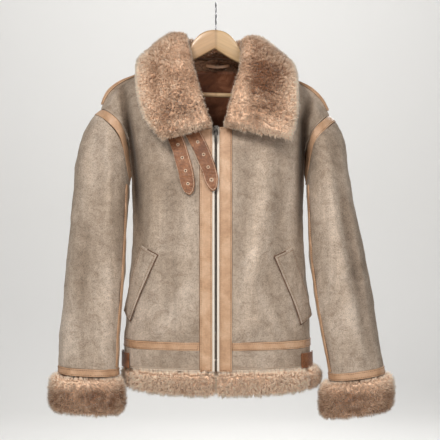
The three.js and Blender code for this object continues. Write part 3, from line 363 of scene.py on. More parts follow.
suede = suedeMaterial()
tanLeather = leatherMaterial("tanLeather", (0.46, 0.27, 0.155), (0.58, 0.36, 0.22),
                             (0.70, 0.48, 0.32), 0.42, 0.25)
brownLeather = leatherMaterial("brownLeather", (0.16, 0.058, 0.024), (0.265, 0.108, 0.047),
                               (0.40, 0.19, 0.095), 0.45, 0.4, wear=(0.60, 1.22), creases=0.9)
wornLeather = leatherMaterial("wornLeather", (0.54, 0.27, 0.15), (0.72, 0.42, 0.26),
                              (0.86, 0.58, 0.40), 0.4, 0.3)
fur = furMaterial("fur", (0.30, 0.16, 0.088), (0.80, 0.57, 0.405), (1.0, 0.87, 0.715))
# a darker copy of the fur for the wool inside the back of the neck: its darkness is painted shade
shadedFur = furMaterial("shadedFur", (0.24, 0.11, 0.06), (0.52, 0.28, 0.16), (0.78, 0.50, 0.33))
thread = leatherMaterial("thread", (0.20, 0.105, 0.06), (0.27, 0.145, 0.082),
                         (0.34, 0.20, 0.12), 0.6, 0.1)
paleThread = leatherMaterial("paleThread", (0.72, 0.50, 0.34), (0.84, 0.62, 0.45),
                             (0.94, 0.74, 0.57), 0.55, 0.1)
# near-black, for the rods that paint shade in the pocket mouths
slitShade = leatherMaterial("slitShade", (0.10, 0.05, 0.03), (0.14, 0.07, 0.04),
                             (0.2, 0.1, 0.06), 0.6, 0.1)
print("materials made")


# which way a piece faces, and the lines along its rims

def middlesOf(points):
    # x and y of the middle line of a piece, level by level: its own for sleeves and cuffs, 0 for the rest
    low, high = points[:, 2].min(), points[:, 2].max()
    levels = np.linspace(low, high, 12)
    middles = np.zeros((12, 3))
    wide, deep = np.ptp(points[:, 0]), np.ptp(points[:, 1])
    if abs(points[:, 0].mean()) > 0.2 and high - low > 0.01 and deep > 0.07 and wide > 0.05:
        near = np.abs(points[:, 2][None] - levels[:, None]) < (high - low) / 10
        middles = (near[:, :, None] * points[None]).sum(1) / near.sum(1)[:, None]
    return np.stack([np.interp(points[:, 2], levels, middles[:, i]) for i in range(2)], 1)


def outwardOf(points):
    # unit vectors level with the ground, away from the middle line
    away = np.concatenate([points[:, :2] - middlesOf(points), np.zeros((len(points), 1))], 1)
    return away / np.maximum(np.linalg.norm(away, axis=1), 1e-6)[:, None]


def faceOf(points, normals):
    # 1 where a piece faces outwards, -1 inwards, about 0 on its edge; the shoulders face up
    away = outwardOf(points)
    if np.abs(points[:, 0]).max() < 0.24:
        up = np.clip((points[:, 2] + 0.30) / 0.15, 0, 1)[:, None]
        away = away * (1 - 0.6 * up) + np.array([0, 0, 1.0]) * up
        away /= np.linalg.norm(away, axis=1)[:, None]
    return (normals * away).sum(1)


def folded(points, folds):
    # each fold runs through its points, seen from its side, and presses in along y, as a bell across it
    moved = points.copy()
    middle = middlesOf(points)[:, 1]
    flat = points[:, [0, 2]]
    for side, width, line in folds:
        sign = 1 if side == "back" else -1
        line = np.array(line)
        nearest, deep = np.full(len(points), 9.0), np.zeros(len(points))
        for a, b in zip(line[:-1], line[1:]):
            along = (b - a)[:2]
            share = np.clip((flat - a[:2]) @ along / (along @ along), 0, 1)
            away = np.linalg.norm(flat - a[:2] - share[:, None] * along, axis=1)
            closer = away < nearest
            nearest[closer] = away[closer]
            deep[closer] = (a[2] + (b[2] - a[2]) * share)[closer]
        there = np.clip(sign * (points[:, 1] - middle) / 0.014, 0, 1)
        moved[:, 1] -= sign * deep * np.exp(-((nearest / width) ** 2)) * there
    return moved


def rimLines(mesh, inset):
    # the edges between a piece's outer face and its rim, as closed lines moved in over the face
    bm = bmesh.new()
    bm.from_mesh(mesh)
    centres = np.array([f.calc_center_median() for f in bm.faces])
    normals = np.array([f.normal for f in bm.faces])
    outer = faceOf(centres, normals) > 0.35
    bm.faces.index_update()
    ways = {}
    for edge in bm.edges:
        sides = [f for f in edge.link_faces if outer[f.index]]
        if len(sides) == 1 and edge.calc_face_angle(0) > math.radians(40):
            loop = next(l for l in sides[0].loops if l.edge == edge)
            ways[loop.vert.index] = (loop.link_loop_next.vert.index, sides[0].index)
    places = np.array([v.co for v in bm.verts])
    bm.free()
    lines = []
    while ways:
        start = next(iter(ways))
        chain, at = [], start
        while at in ways:
            ahead, face = ways.pop(at)
            chain.append((at, face))
            at = ahead
        if len(chain) < 4:
            continue
        corner = places[[c[0] for c in chain]]
        up = normals[[c[1] for c in chain]]
        step = np.roll(corner, -1, 0) - corner
        step /= np.maximum(np.linalg.norm(step, axis=1), 1e-9)[:, None]
        inward = np.cross(up, step)
        before = np.roll(inward, 1, 0)
        mitre = (inward + before) / np.maximum(1 + (inward * before).sum(1), 0.35)[:, None]
        line, upward = corner + mitre * inset, (up + np.roll(up, 1, 0)) / 2
        lines.append((np.concatenate([line, line[:1]]), np.concatenate([upward, upward[:1]])))
    return lines


def spindles(name, lines, pitch, length, radius, lift, sides=5):
    # short rods with pointed ends, evenly spaced along each line
    middles, aheads, ups = [], [], []
    for points, normals in lines:
        run = np.concatenate([[0], np.cumsum(np.linalg.norm(np.diff(points, axis=0), axis=1))])
        at = np.arange(pitch / 2, run[-1] - pitch / 2, pitch)
        place = np.stack([np.interp(at, run, points[:, i]) for i in range(3)], 1)
        later = np.stack([np.interp(at + pitch * 0.3, run, points[:, i]) for i in range(3)], 1)
        up = np.stack([np.interp(at, run, normals[:, i]) for i in range(3)], 1)
        middles.append(place), aheads.append(later - place), ups.append(up)
    middle, ahead, up = map(np.concatenate, (middles, aheads, ups))
    ahead /= np.maximum(np.linalg.norm(ahead, axis=1), 1e-9)[:, None]
    up -= ahead * (up * ahead).sum(1)[:, None]
    up /= np.linalg.norm(up, axis=1)[:, None]
    across = np.cross(ahead, up)
    middle = middle + up * lift
    turns = np.arange(sides) * 2 * np.pi / sides
    ring = up[:, None] * np.cos(turns)[None, :, None] * 0.8 + across[:, None] * np.sin(turns)[None, :, None]
    parts = [(middle - ahead * length * 0.5)[:, None],
             (middle - ahead * length * 0.3)[:, None] + ring * radius,
             (middle + ahead * length * 0.3)[:, None] + ring * radius,
             (middle + ahead * length * 0.5)[:, None]]
    points = np.concatenate(parts, 1).reshape(-1, 3)
    each = 2 + 2 * sides
    now, nxt = np.arange(sides), (np.arange(sides) + 1) % sides
    start = np.arange(len(middle))[:, None, None] * each
    first = np.stack([np.zeros(sides, int), 1 + nxt, 1 + now], 1)
    wall = np.stack([1 + now, 1 + nxt, 1 + sides + nxt, 1 + sides + now], 1)
    last = np.stack([1 + sides + now, 1 + sides + nxt, np.full(sides, each - 1)], 1)
    faces = [f for part in (first, wall, last) for f in (start + part).reshape(-1, part.shape[1]).tolist()]
    return meshFrom(name, points, faces)


# the sheepskin panels

# the long folds: the side, the width, and x, z and depth at points along it; below 0 it swells out
folds = [
    # the valleys between the chest and the arms
    ("front", 0.0085, [(-0.190, -0.150, 0.002), (-0.184, -0.180, 0.011), (-0.174, -0.240, 0.020),
                       (-0.165, -0.300, 0.026), (-0.158, -0.375, 0.020), (-0.156, -0.440, 0.004)]),
    ("front", 0.0085, [(0.190, -0.180, 0.004), (0.184, -0.202, 0.012), (0.172, -0.238, 0.020),
                       (0.171, -0.300, 0.026), (0.168, -0.380, 0.018), (0.165, -0.480, 0.003)]),
    # right front
    ("front", 0.0165, [(0.102, -0.280, -0.003), (0.086, -0.425, -0.010), (0.068, -0.540, -0.008),
                       (0.060, -0.630, -0.002)]),
    # right sleeve
    ("front", 0.0130, [(0.232, -0.290, 0.002), (0.254, -0.440, 0.009), (0.276, -0.560, 0.010),
                       (0.298, -0.700, 0.004)]),
    ("front", 0.0140, [(0.212, -0.290, -0.002), (0.230, -0.450, -0.007), (0.262, -0.660, -0.003)]),
    ("front", 0.0100, [(0.262, -0.300, 0.001), (0.290, -0.480, 0.006), (0.312, -0.640, 0.007),
                       (0.322, -0.710, 0.002)]),
]
# the short folds: width, x and z at one end, x and z at the other, and the depth in the middle
shortFolds = {
    "front": [
        # left front
        (0.0260, -0.122, -0.290, -0.116, -0.520, -0.0060), (0.0130, -0.150, -0.300, -0.142, -0.580, 0.0050),
        (0.0150, -0.085, -0.330, -0.092, -0.600, 0.0035), (0.0150, -0.055, -0.420, -0.060, -0.640, -0.0030),
        (0.0140, -0.140, -0.610, -0.060, -0.655, -0.0035),
        # right front
        (0.0130, 0.128, -0.300, 0.118, -0.520, 0.0055), (0.0130, 0.064, -0.300, 0.050, -0.540, 0.0045),
        (0.0120, 0.155, -0.380, 0.150, -0.600, -0.0040), (0.0100, 0.045, -0.560, 0.115, -0.545, 0.0030),
        (0.0130, 0.045, -0.640, 0.110, -0.600, -0.0040), (0.0080, 0.092, -0.520, 0.104, -0.560, 0.0030),
        # left sleeve
        (0.0060, -0.209, -0.245, -0.207, -0.440, -0.0048), (0.0100, -0.228, -0.250, -0.225, -0.400, 0.0050),
        (0.0130, -0.250, -0.260, -0.250, -0.440, -0.0040), (0.0150, -0.200, -0.470, -0.215, -0.700, -0.0050),
        (0.0120, -0.250, -0.430, -0.262, -0.640, 0.0050), (0.0080, -0.275, -0.445, -0.222, -0.485, 0.0045),
        (0.0080, -0.245, -0.530, -0.198, -0.565, 0.0035), (0.0100, -0.285, -0.610, -0.225, -0.640, 0.0035),
        # right sleeve
        (0.0080, 0.196, -0.470, 0.240, -0.500, 0.0040), (0.0080, 0.285, -0.520, 0.235, -0.560, 0.0040),
    ],
    "back": [
        (0.0200, -0.060, -0.220, -0.090, -0.600, 0.0045), (0.0180, 0.070, -0.200, 0.100, -0.580, 0.0045),
        (0.0160, 0.010, -0.170, 0.000, -0.620, -0.0035), (0.0140, -0.150, -0.360, -0.140, -0.620, 0.0060),
        (0.0140, 0.150, -0.360, 0.145, -0.620, 0.0060), (0.0130, -0.170, -0.300, -0.090, -0.240, 0.0045),
        (0.0130, 0.170, -0.310, 0.100, -0.250, 0.0045), (0.0120, -0.225, -0.300, -0.235, -0.600, 0.0050),
        (0.0120, 0.225, -0.310, 0.255, -0.600, 0.0050), (0.0090, -0.270, -0.460, -0.200, -0.500, 0.0040),
        (0.0090, 0.280, -0.460, 0.210, -0.500, 0.0040),
    ],
}
endShare = 0.35
for side, short in shortFolds.items():
    for width, x, z, toX, toZ, deep in short:
        line = [(x, z, deep * endShare), ((x + toX) / 2, (z + toZ) / 2, deep), (toX, toZ, deep * endShare)]
        folds.append((side, width, line))

# heights and sizes of the soft swelling and dimples; the neck is where the wool inside shows
sheepskin = {"levels": 2, "swell": (0.0016, 0.060), "dimple": (0.0006, 0.020), "deepCrease": 0.020,
             "firm": 0.4, "rim": 0.0012, "rolled": 0.009, "rawFace": 0.12}
neck = {"skinLow": -0.152, "skinHalf": 0.08, "woolLow": -0.142, "woolHalf": 0.075, "behind": 0.03,
        "foot": -0.124, "strands": 4500}
stitchLines, mouthLines = [], []
for node in ["front_left", "front_right", "back", "sleeve_left", "sleeve_right",
             "waistband_left", "waistband_right", "waistband_back"]:
    mesh = finer(mergedMesh(node), sheepskin["levels"])
    points, normals = pointsOf(mesh), normalsOf(mesh)
    (swellHigh, swellSize), (dimpleHigh, dimpleSize) = sheepskin["swell"], sheepskin["dimple"]
    swell = swellHigh * waves(points, swellSize, 3) + dimpleHigh * waves(points, dimpleSize, 5)
    soft = sheepskin["firm"] if node.startswith("waist") else 1
    swell *= soft * np.clip(np.abs(faceOf(points, normals)), 0, 1)
    setPoints(mesh, points + normals * swell[:, None])
    mesh = roundedRims(mesh, sheepskin["rim"])
    points = pointsOf(mesh)
    face = faceOf(points, normalsOf(mesh))
    pressed = folded(points, folds)
    crease = (points - pressed)[:, 1] * np.sign(points[:, 1] - middlesOf(points)[:, 1])
    putAttribute(mesh, "crease", crease / sheepskin["deepCrease"])
    setPoints(mesh, pressed)
    if node.startswith("waist"):
        rolled = points[:, 2] < points[:, 2].min() + sheepskin["rolled"]
        face = np.where(rolled & (face > 0), sheepskin["rawFace"], face)
    if node == "back":
        inNeck = (points[:, 2] > neck["skinLow"]) & (np.abs(points[:, 0]) < neck["skinHalf"])
        face = np.where(inNeck & (points[:, 1] > neck["behind"]), -1, face)
    putAttribute(mesh, "face", face)
    pieceFrom(node + "_suede", mesh, suede, "suede", node)
print("suede panels made")

# the welts stand proud towards the zip; their mouth is the open side, the one nearer the zip
welts = {"proud": 0.0016, "outer": 0.172, "run": 0.03, "uneven": 0.0006, "inset": 0.0042, "mouth": -0.0008}
for node in ["pocket_welt_left", "pocket_welt_right"]:
    mesh = finer(mergedMesh(node), 2)
    points, normals = pointsOf(mesh), normalsOf(mesh)
    inwards = np.clip((welts["outer"] - np.abs(points[:, 0])) / welts["run"], 0, 1)
    raised = welts["proud"] * np.clip(faceOf(points, normals), 0, 1) * inwards
    raised += welts["uneven"] * waves(points, 0.018, 8)
    setPoints(mesh, points + normals * raised[:, None])
    stitchLines += rimLines(mesh, welts["inset"])
    for line, ways in rimLines(mesh, welts["mouth"]):
        side = 1 if line[:, 0].mean() > 0 else -1
        slope, offset = np.polyfit(line[:, 2], line[:, 0], 1)
        inner = side * (line[:, 0] - slope * line[:, 2] - offset) < 0.002
        first = int(np.argmax(inner & ~np.roll(inner, 1)))
        inner, line, ways = (np.roll(part, -first, axis=0) for part in (inner, line, ways))
        mouthLines.append((line[inner], ways[inner]))
    mesh = roundedRims(mesh, sheepskin["rim"])
    putAttribute(mesh, "face", faceOf(pointsOf(mesh), normalsOf(mesh)))
    pieceFrom(node + "_suede", mesh, suede, "suede", node)

# tan leather tapes and plackets

tapes = {"inset": 0.0026, "seamInset": 0.0014, "wobble": 0.0004, "round": 0.0007}
for node in ["armhole_tape_left", "armhole_tape_right", "cuff_tape_left", "cuff_tape_right",
             "shoulder_tape_left", "shoulder_tape_right", "sleeve_seam_tape_left", "sleeve_seam_tape_right",
             "placket_left", "placket_right", "waist_tape_left", "waist_tape_right", "waist_tape_back"]:
    mesh = finer(mergedMesh(node), 2)
    points, normals = pointsOf(mesh), normalsOf(mesh)
    wobble = tapes["wobble"] * waves(points, 0.025, 9)
    setPoints(mesh, folded(points + normals * wobble[:, None], folds))
    stitchLines += rimLines(mesh, tapes["seamInset" if "seam" in node else "inset"])
    pieceFrom(node + "_leather", roundedRims(mesh, tapes["round"]), tanLeather, "tan_leather", node)
tapeStitch = {"pitch": 0.0042, "length": 0.0034, "radius": 0.00050, "lift": 0.0002}
pieceFrom("tape_stitches", spindles("tape_stitches", stitchLines, **tapeStitch), thread, "zip_tape")
# dark rods sunk along the open side of each welt: painted shade in the pocket slit
mouthShade = {"pitch": 0.0035, "length": 0.0085, "radius": 0.0011, "lift": -0.0012}
pieceFrom("pocket_mouths", spindles("pocket_mouths", mouthLines, **mouthShade), slitShade, "suede")
print("leather tapes made")

# the straps, tabs and hang loop in brown leather

# the collar straps are wrinkled across in places and bent softly; outer rims have more points than holes
brown = {"wrinkle": 0.00035, "bend": 0.0005, "inset": 0.0021, "round": 0.0006, "rimPoints": 60}
strapLines = []
for node in ["collar_strap_outer", "collar_strap_inner", "side_tab_left", "side_tab_right", "hang_loop"]:
    mesh = finer(mergedMesh(node), 2)
    points, normals = pointsOf(mesh), normalsOf(mesh)
    if node.startswith("collar_strap"):
        across = np.sin(points[:, 2] * 900 + 2.5 * waves(points, 0.03, 14))
        across *= np.clip(waves(points, 0.035, 15) * 2, 0, 1)
        height = brown["wrinkle"] * across + brown["bend"] * waves(points, 0.03, 13)
        setPoints(mesh, points + normals * height[:, None])
    if node != "hang_loop":
        strapLines += [line for line in rimLines(mesh, brown["inset"]) if len(line[0]) > brown["rimPoints"]]
    leather = wornLeather if node == "hang_loop" else brownLeather
    pieceFrom(node + "_leather", roundedRims(mesh, brown["round"]), leather, "brown_leather", node)
strapStitch = {"pitch": 0.0034, "length": 0.0040, "radius": 0.00042, "lift": 0.0001}
pieceFrom("strap_stitches", spindles("strap_stitches", strapLines, **strapStitch), paleThread, "zip_tape")


def ringsAt(name, middles, radius, tube, sides=14, around=6):
    # small rings that face the front
    turn = (np.arange(sides) * 2 * np.pi / sides)[:, None]
    roll = (np.arange(around) * 2 * np.pi / around)[None]
    wide = radius + tube * np.cos(roll)
    ring = np.stack([wide * np.cos(turn), -tube * np.sin(roll) + 0 * turn, wide * np.sin(turn)], -1)
    points = (middles[:, None] + ring.reshape(1, -1, 3)).reshape(-1, 3)
    number = np.arange(sides * around).reshape(sides, around)
    ahead, beside = np.roll(number, -1, 0), np.roll(number, -1, 1)
    quads = np.stack([number, beside, np.roll(ahead, -1, 1), ahead], -1).reshape(-1, 4)
    faces = (np.arange(len(middles))[:, None, None] * sides * around + quads).reshape(-1, 4)
    return meshFrom(name, points, faces.tolist())


# each strap's top and tip on the chest and its sideways swing; its holes are counted from the tip
straps = {
    "collar_strap_outer": {"top": (-0.084, -0.258), "tip": (-0.050, -0.384), "swing": 0.005},
    "collar_strap_inner": {"top": (-0.050, -0.254), "tip": (-0.004, -0.376), "swing": 0.007},
}
holes = {"count": 4, "first": 0.022, "pitch": 0.026, "reach": 0.0030, "proud": 0.0001, "radius": 0.0025,
         "tube": 0.0008}
middles = []
for node, strap in straps.items():
    points = pointsOf(cad[node].data)
    top, tip = np.array(strap["top"]), np.array(strap["tip"])
    for hole in range(holes["count"]):
        share = 1 - (holes["first"] + hole * holes["pitch"]) / np.linalg.norm(tip - top)
        x, z = top + (tip - top) * share + np.array([strap["swing"] * math.sin(math.pi * share), 0])
        near = np.hypot(points[:, 0] - x, points[:, 2] - z) < holes["reach"]
        middles.append([x, points[near, 1].min() - holes["proud"], z])
rims = ringsAt("strap_hole_rims", np.array(middles), holes["radius"], holes["tube"])
pieceFrom("strap_hole_rims", rims, paleThread, "brown_leather")
print("brown leather made")


# the fur

def trianglesOf(mesh):
    # the numbers of each triangle's three points
    mesh.calc_loop_triangles()
    corners = np.empty(len(mesh.loop_triangles) * 3, np.int64)
    mesh.loop_triangles.foreach_get("vertices", corners)
    return corners.reshape(-1, 3)


def scattered(mesh, count, rng):
    # random points on the mesh, as many on each triangle as its area asks, with the normal there
    points, normals, corners = pointsOf(mesh), normalsOf(mesh), trianglesOf(mesh)
    a, b, c = (points[corners[:, i]] for i in range(3))
    area = np.linalg.norm(np.cross(b - a, c - a), axis=1)
    pick = rng.choice(len(corners), count, p=area / area.sum())
    u, v = rng.random((2, count))
    flip = u + v > 1
    u[flip], v[flip] = 1 - u[flip], 1 - v[flip]
    share = np.stack([1 - u - v, u, v], 1)[:, :, None]
    roots = (points[corners[pick]] * share).sum(1)
    ways = (normals[corners[pick]] * share).sum(1)
    return roots, ways / np.linalg.norm(ways, axis=1)[:, None]


def nearestOf(points, centres, block=2000):
    # for each point, the number of the nearest centre
    parts = [points[i:i + block, None] for i in range(0, len(points), block)]
    return np.concatenate([((part - centres[None]) ** 2).sum(2).argmin(1) for part in parts])


def patched(points, patches):
    # the sum of soft round patches, each with a middle, radii and an amount
    total = np.zeros(len(points))
    for centre, radius, amount in patches:
        total += amount * np.exp(-(((points - np.array(centre)) / np.array(radius)) ** 2).sum(1))
    return total


def toneOf(points, seed, patches=()):
    # how pale the wool looks: soft clouds, and patches at given places that make it lighter or darker, the
    # collar's darkest being painted shade
    clouds = 0.14 * waves(points, 0.05, seed) + 0.14 * waves(points, 0.014, seed + 1)
    return 0.58 + clouds + patched(points, patches)


def pileOn(name, roots, ways, lean, wool, tone, seed):
    # each strand is a thin spike whose tip is drawn towards the tip of its lock, more so where it curls
    rng = np.random.default_rng(seed)
    count = len(roots)
    curl = wool["curly"] + 0.25 * waves(roots, 0.03, seed + 3) + patched(roots, wool.get("curls", ()))
    curl = np.clip(curl, 0, 1)[:, None]
    centres = roots[rng.choice(count, max(count // wool["perLock"], 8), replace=False)]
    lock = nearestOf(roots, centres)
    tall = 1 + rng.normal(0, 0.16, len(centres))[lock][:, None] * (0.25 + curl)
    long = wool["length"] * rng.uniform(0.78, 1.08, count)[:, None] * tall
    sway = rng.normal(0, 1, (len(centres), 3))[lock] * (0.12 + 0.34 * curl)
    drift = lean + sway + rng.normal(0, wool["loose"], (count, 3))
    drift -= ways * (drift * ways).sum(1)[:, None]
    pull = (centres[lock] - roots) * (wool["clump"] * (0.3 + 1.2 * curl))
    tips = roots + (ways * 0.95 + drift * 0.6) * long + pull
    side = np.cross(ways, rng.normal(size=(count, 3)))
    side /= np.linalg.norm(side, axis=1)[:, None]
    other = np.cross(ways, side)
    turns = np.arange(3) * 2 * np.pi / 3
    ring = side[:, None] * np.cos(turns)[None, :, None] + other[:, None] * np.sin(turns)[None, :, None]
    wide = (wool["width"] * rng.uniform(0.7, 1.3, count))[:, None, None]
    base = (roots - ways * 0.001)[:, None] + ring * wide
    points = np.concatenate([base, tips[:, None]], 1).reshape(-1, 3)
    spike = np.array([[0, 2, 1], [0, 1, 3], [1, 2, 3], [2, 0, 3]])
    faces = (np.arange(count)[:, None, None] * 4 + spike).reshape(-1, 3)
    pile = meshFrom(name, points, faces.tolist())
    tone = tone + rng.normal(0, 0.12, count) + rng.normal(0, 0.16, len(centres))[lock] * (0.3 + curl[:, 0])
    putAttribute(pile, "pile", np.tile([0.2, 0.2, 0.2, 1.0], count))
    putAttribute(pile, "tone", np.repeat(np.clip(tone, 0, 1), 4))
    return pile


# the collar's middle surface in millimetres, a row from the zip to the centre of the back:
# the neck seam, the roll and the free edge
collar = {
    "left": [[12, -101, -258, 16, -121, -257, 104, -126, -283],
             [44, -92, -228, 32, -115, -210, 138, -112, -240],
             [64, -74, -192, 44, -96, -165, 153, -86, -190],
             [79, -44, -149, 58, -66, -115, 157, -50, -142],
             [86, 0, -107, 67, -18, -70, 154, -4, -120],
             [76, 44, -101, 66, 36, -69, 138, 66, -138],
             [44, 70, -99, 40, 74, -70, 88, 114, -178],
             [0, 80, -98, 0, 86, -72, 0, 126, -192]],
    "right": [[21, -101, -258, 26, -120, -258, 146, -122, -282],
              [45, -92, -228, 36, -114, -208, 158, -106, -234],
              [64, -74, -192, 47, -96, -167, 160, -82, -188],
              [79, -44, -151, 58, -66, -122, 159, -46, -150],
              [86, 0, -109, 61, -25, -79, 153, -4, -128],
              [76, 44, -101, 64, 36, -72, 138, 66, -140],
              [44, 70, -99, 40, 74, -71, 88, 114, -178]],
    "sections": 150, "stand": 12, "fall": 44, "shorter": 0.005, "narrower": 0.007, "furUnder": 0.0062,
    "skin": 0.0072, "round": 0.010, "edgeTurn": 0.022, "endTurn": 0.018, "paleRim": 0.030,
    "pale": -0.11, "rimPaler": 0.30,
    "strands": 38000, "onFace": 0.84, "length": 0.0100, "width": 0.00056, "clump": 0.62, "curly": 0.10,
    "loose": 0.20, "perLock": 13,
    # soft round patches of curlier wool, and patches that make the wool paler or darker: middle, radii and
    # amount; the last, inside the back of the neck, is painted shade
    "curls": [((-0.070, -0.11, -0.222), (0.050, 0.06, 0.038), 0.65),
              ((0.105, -0.09, -0.170), (0.040, 0.08, 0.050), 0.55),
              ((0.090, -0.11, -0.255), (0.060, 0.06, 0.020), 0.45),
              ((0.0, 0.10, -0.10), (0.20, 0.06, 0.10), 0.35)],
    "patches": [((0.090, -0.09, -0.160), (0.032, 0.08, 0.045), -0.75),
                ((0.085, -0.10, -0.222), (0.03, 0.06, 0.014), -0.25),
                ((-0.092, -0.10, -0.243), (0.022, 0.06, 0.026), -0.30),
                ((-0.100, -0.08, -0.165), (0.035, 0.06, 0.035), -0.20),
                ((-0.150, -0.08, -0.190), (0.020, 0.10, 0.10), 0.42),
                ((-0.055, -0.10, -0.250), (0.05, 0.05, 0.018), 0.42),
                ((0.052, -0.10, -0.20), (0.016, 0.06, 0.07), 0.26),
                ((0.10, -0.12, -0.268), (0.07, 0.06, 0.022), 0.55),
                ((0.153, -0.08, -0.190), (0.016, 0.10, 0.08), 0.40),
                # painted shade on the wool inside the back of the neck
                ((0.0, 0.055, -0.10), (0.07, 0.035, 0.030), -0.75)],
}


def throughPoints(points, shares):
    # a smooth curve through the points, each span paced by the square root of its length
    ends = np.concatenate([[2 * points[0] - points[1]], points, [2 * points[-1] - points[-2]]])
    at = np.clip(shares, 0, 1) * (len(points) - 1)
    span = np.minimum(at.astype(int), len(points) - 2)
    t = (at - span)[:, None]
    a, b, c, d = (ends[span + i] for i in range(4))
    pairs = ((a, b), (b, c), (c, d))
    pace = [np.maximum(np.linalg.norm(q - p, axis=1) ** 0.5, 1e-6)[:, None] for p, q in pairs]
    start = ((b - a) / pace[0] - (c - a) / (pace[0] + pace[1]) + (c - b) / pace[1]) * pace[1]
    end = ((c - b) / pace[1] - (d - b) / (pace[1] + pace[2]) + (d - c) / pace[2]) * pace[1]
    return b + start * t + (3 * (c - b) - 2 * start - end) * t ** 2 + (2 * (b - c) + start + end) * t ** 3


def bezier(p, q, r, s, t):
    # the point at t on the cubic curve from p to s, drawn towards q and r
    return p * (1 - t) ** 3 + 3 * q * t * (1 - t) ** 2 + 3 * r * t ** 2 * (1 - t) + s * t ** 3


def unit(vectors):
    # the vectors at length 1
    return vectors / np.maximum(np.linalg.norm(vectors, axis=-1), 1e-9)[..., None]


def collarSheet():
    # s runs round the neck; t rises from the neck seam to the roll and falls from there to the free edge
    rows = np.array(collar["left"] + collar["right"][::-1], float).reshape(-1, 3, 3) * 0.001
    rows[:len(collar["left"]), :, 0] *= -1
    s = np.linspace(collar["shorter"], 1 - collar["shorter"], collar["sections"])
    neck, roll, free = (throughPoints(rows[:, i], s)[:, None] for i in range(3))
    free = free - unit(free - roll) * collar["narrower"]
    up, fall = roll - neck, free - roll
    stand = np.linalg.norm(up, axis=-1)[..., None]
    spread = free - neck
    out = unit(spread - unit(up) * (spread * unit(up)).sum(-1)[..., None])
    t = np.linspace(0, 1, collar["stand"], endpoint=False)[None, :, None]
    rise = bezier(neck, neck + up * 0.45, roll - out * stand * 0.3, roll, t)
    t = np.linspace(0, 1, collar["fall"])[None, :, None]
    long = np.linalg.norm(fall, axis=-1)[..., None]
    drop = bezier(roll, roll + out * long * 0.26, free - fall * 0.32, free, t)
    return np.concatenate([rise, drop], 1)


sheet = collarSheet()
rows, cols = sheet.shape[:2]
around = unit(np.gradient(sheet, axis=0))
across = unit(np.gradient(sheet, axis=1))
furWay = unit(np.cross(across, around))
if (furWay[rows // 6, -10] * np.array([0, -1.0, 0])).sum() < 0:
    furWay = -furWay
toEdge = np.linalg.norm(sheet - sheet[:, -1:], axis=-1)
toEnds = np.minimum(np.linalg.norm(sheet - sheet[:1], axis=-1), np.linalg.norm(sheet - sheet[-1:], axis=-1))
rounding = np.sqrt(1 - (1 - np.clip(np.minimum(toEdge, toEnds) / collar["round"], 0, 1)) ** 2)
lumps = 0.0012 * waves(sheet.reshape(-1, 3), 0.016, 21).reshape(rows, cols)
slim = 1 - 0.35 * np.exp(-((np.arange(cols) - collar["stand"]) / 9) ** 2)[None]
furSide = sheet + furWay * ((collar["furUnder"] * slim + lumps) * rounding + 0.0004)[..., None]
skinSide = sheet - furWay * (collar["skin"] * rounding + 0.0004)[..., None]
grid = np.arange(rows * cols).reshape(rows, cols)


def quadsOf(numbers):
    # the faces of a grid of point numbers
    return np.stack([numbers[:-1, :-1], numbers[1:, :-1], numbers[1:, 1:], numbers[:-1, 1:]], -1).reshape(-1, 4)


under = grid + rows * cols
faces = np.concatenate([
    quadsOf(grid), quadsOf(under)[:, ::-1],
    quadsOf(np.stack([under[:, 0], grid[:, 0]], 1)), quadsOf(np.stack([grid[:, -1], under[:, -1]], 1)),
    quadsOf(np.stack([grid[0], under[0]], 1)), quadsOf(np.stack([under[-1], grid[-1]], 1)),
])
mesh = meshFrom("collar_skin", np.concatenate([furSide, skinSide]).reshape(-1, 3), faces.tolist())
bm = bmesh.new()
bm.from_mesh(mesh)
bmesh.ops.recalc_face_normals(bm, faces=bm.faces)
bm.to_mesh(mesh)
bm.free()
tone = toneOf(furSide.reshape(-1, 3), 50, collar["patches"])
shade = 0.48 + 0.1 * waves(furSide.reshape(-1, 3), 0.010, 22)
putAttribute(mesh, "pile", np.concatenate([shade, np.full(rows * cols, 0.35)]))
putAttribute(mesh, "tone", np.concatenate([tone, tone * 0.7]))
pieceFrom("collar_skin", mesh, fur, "fur", "collar")

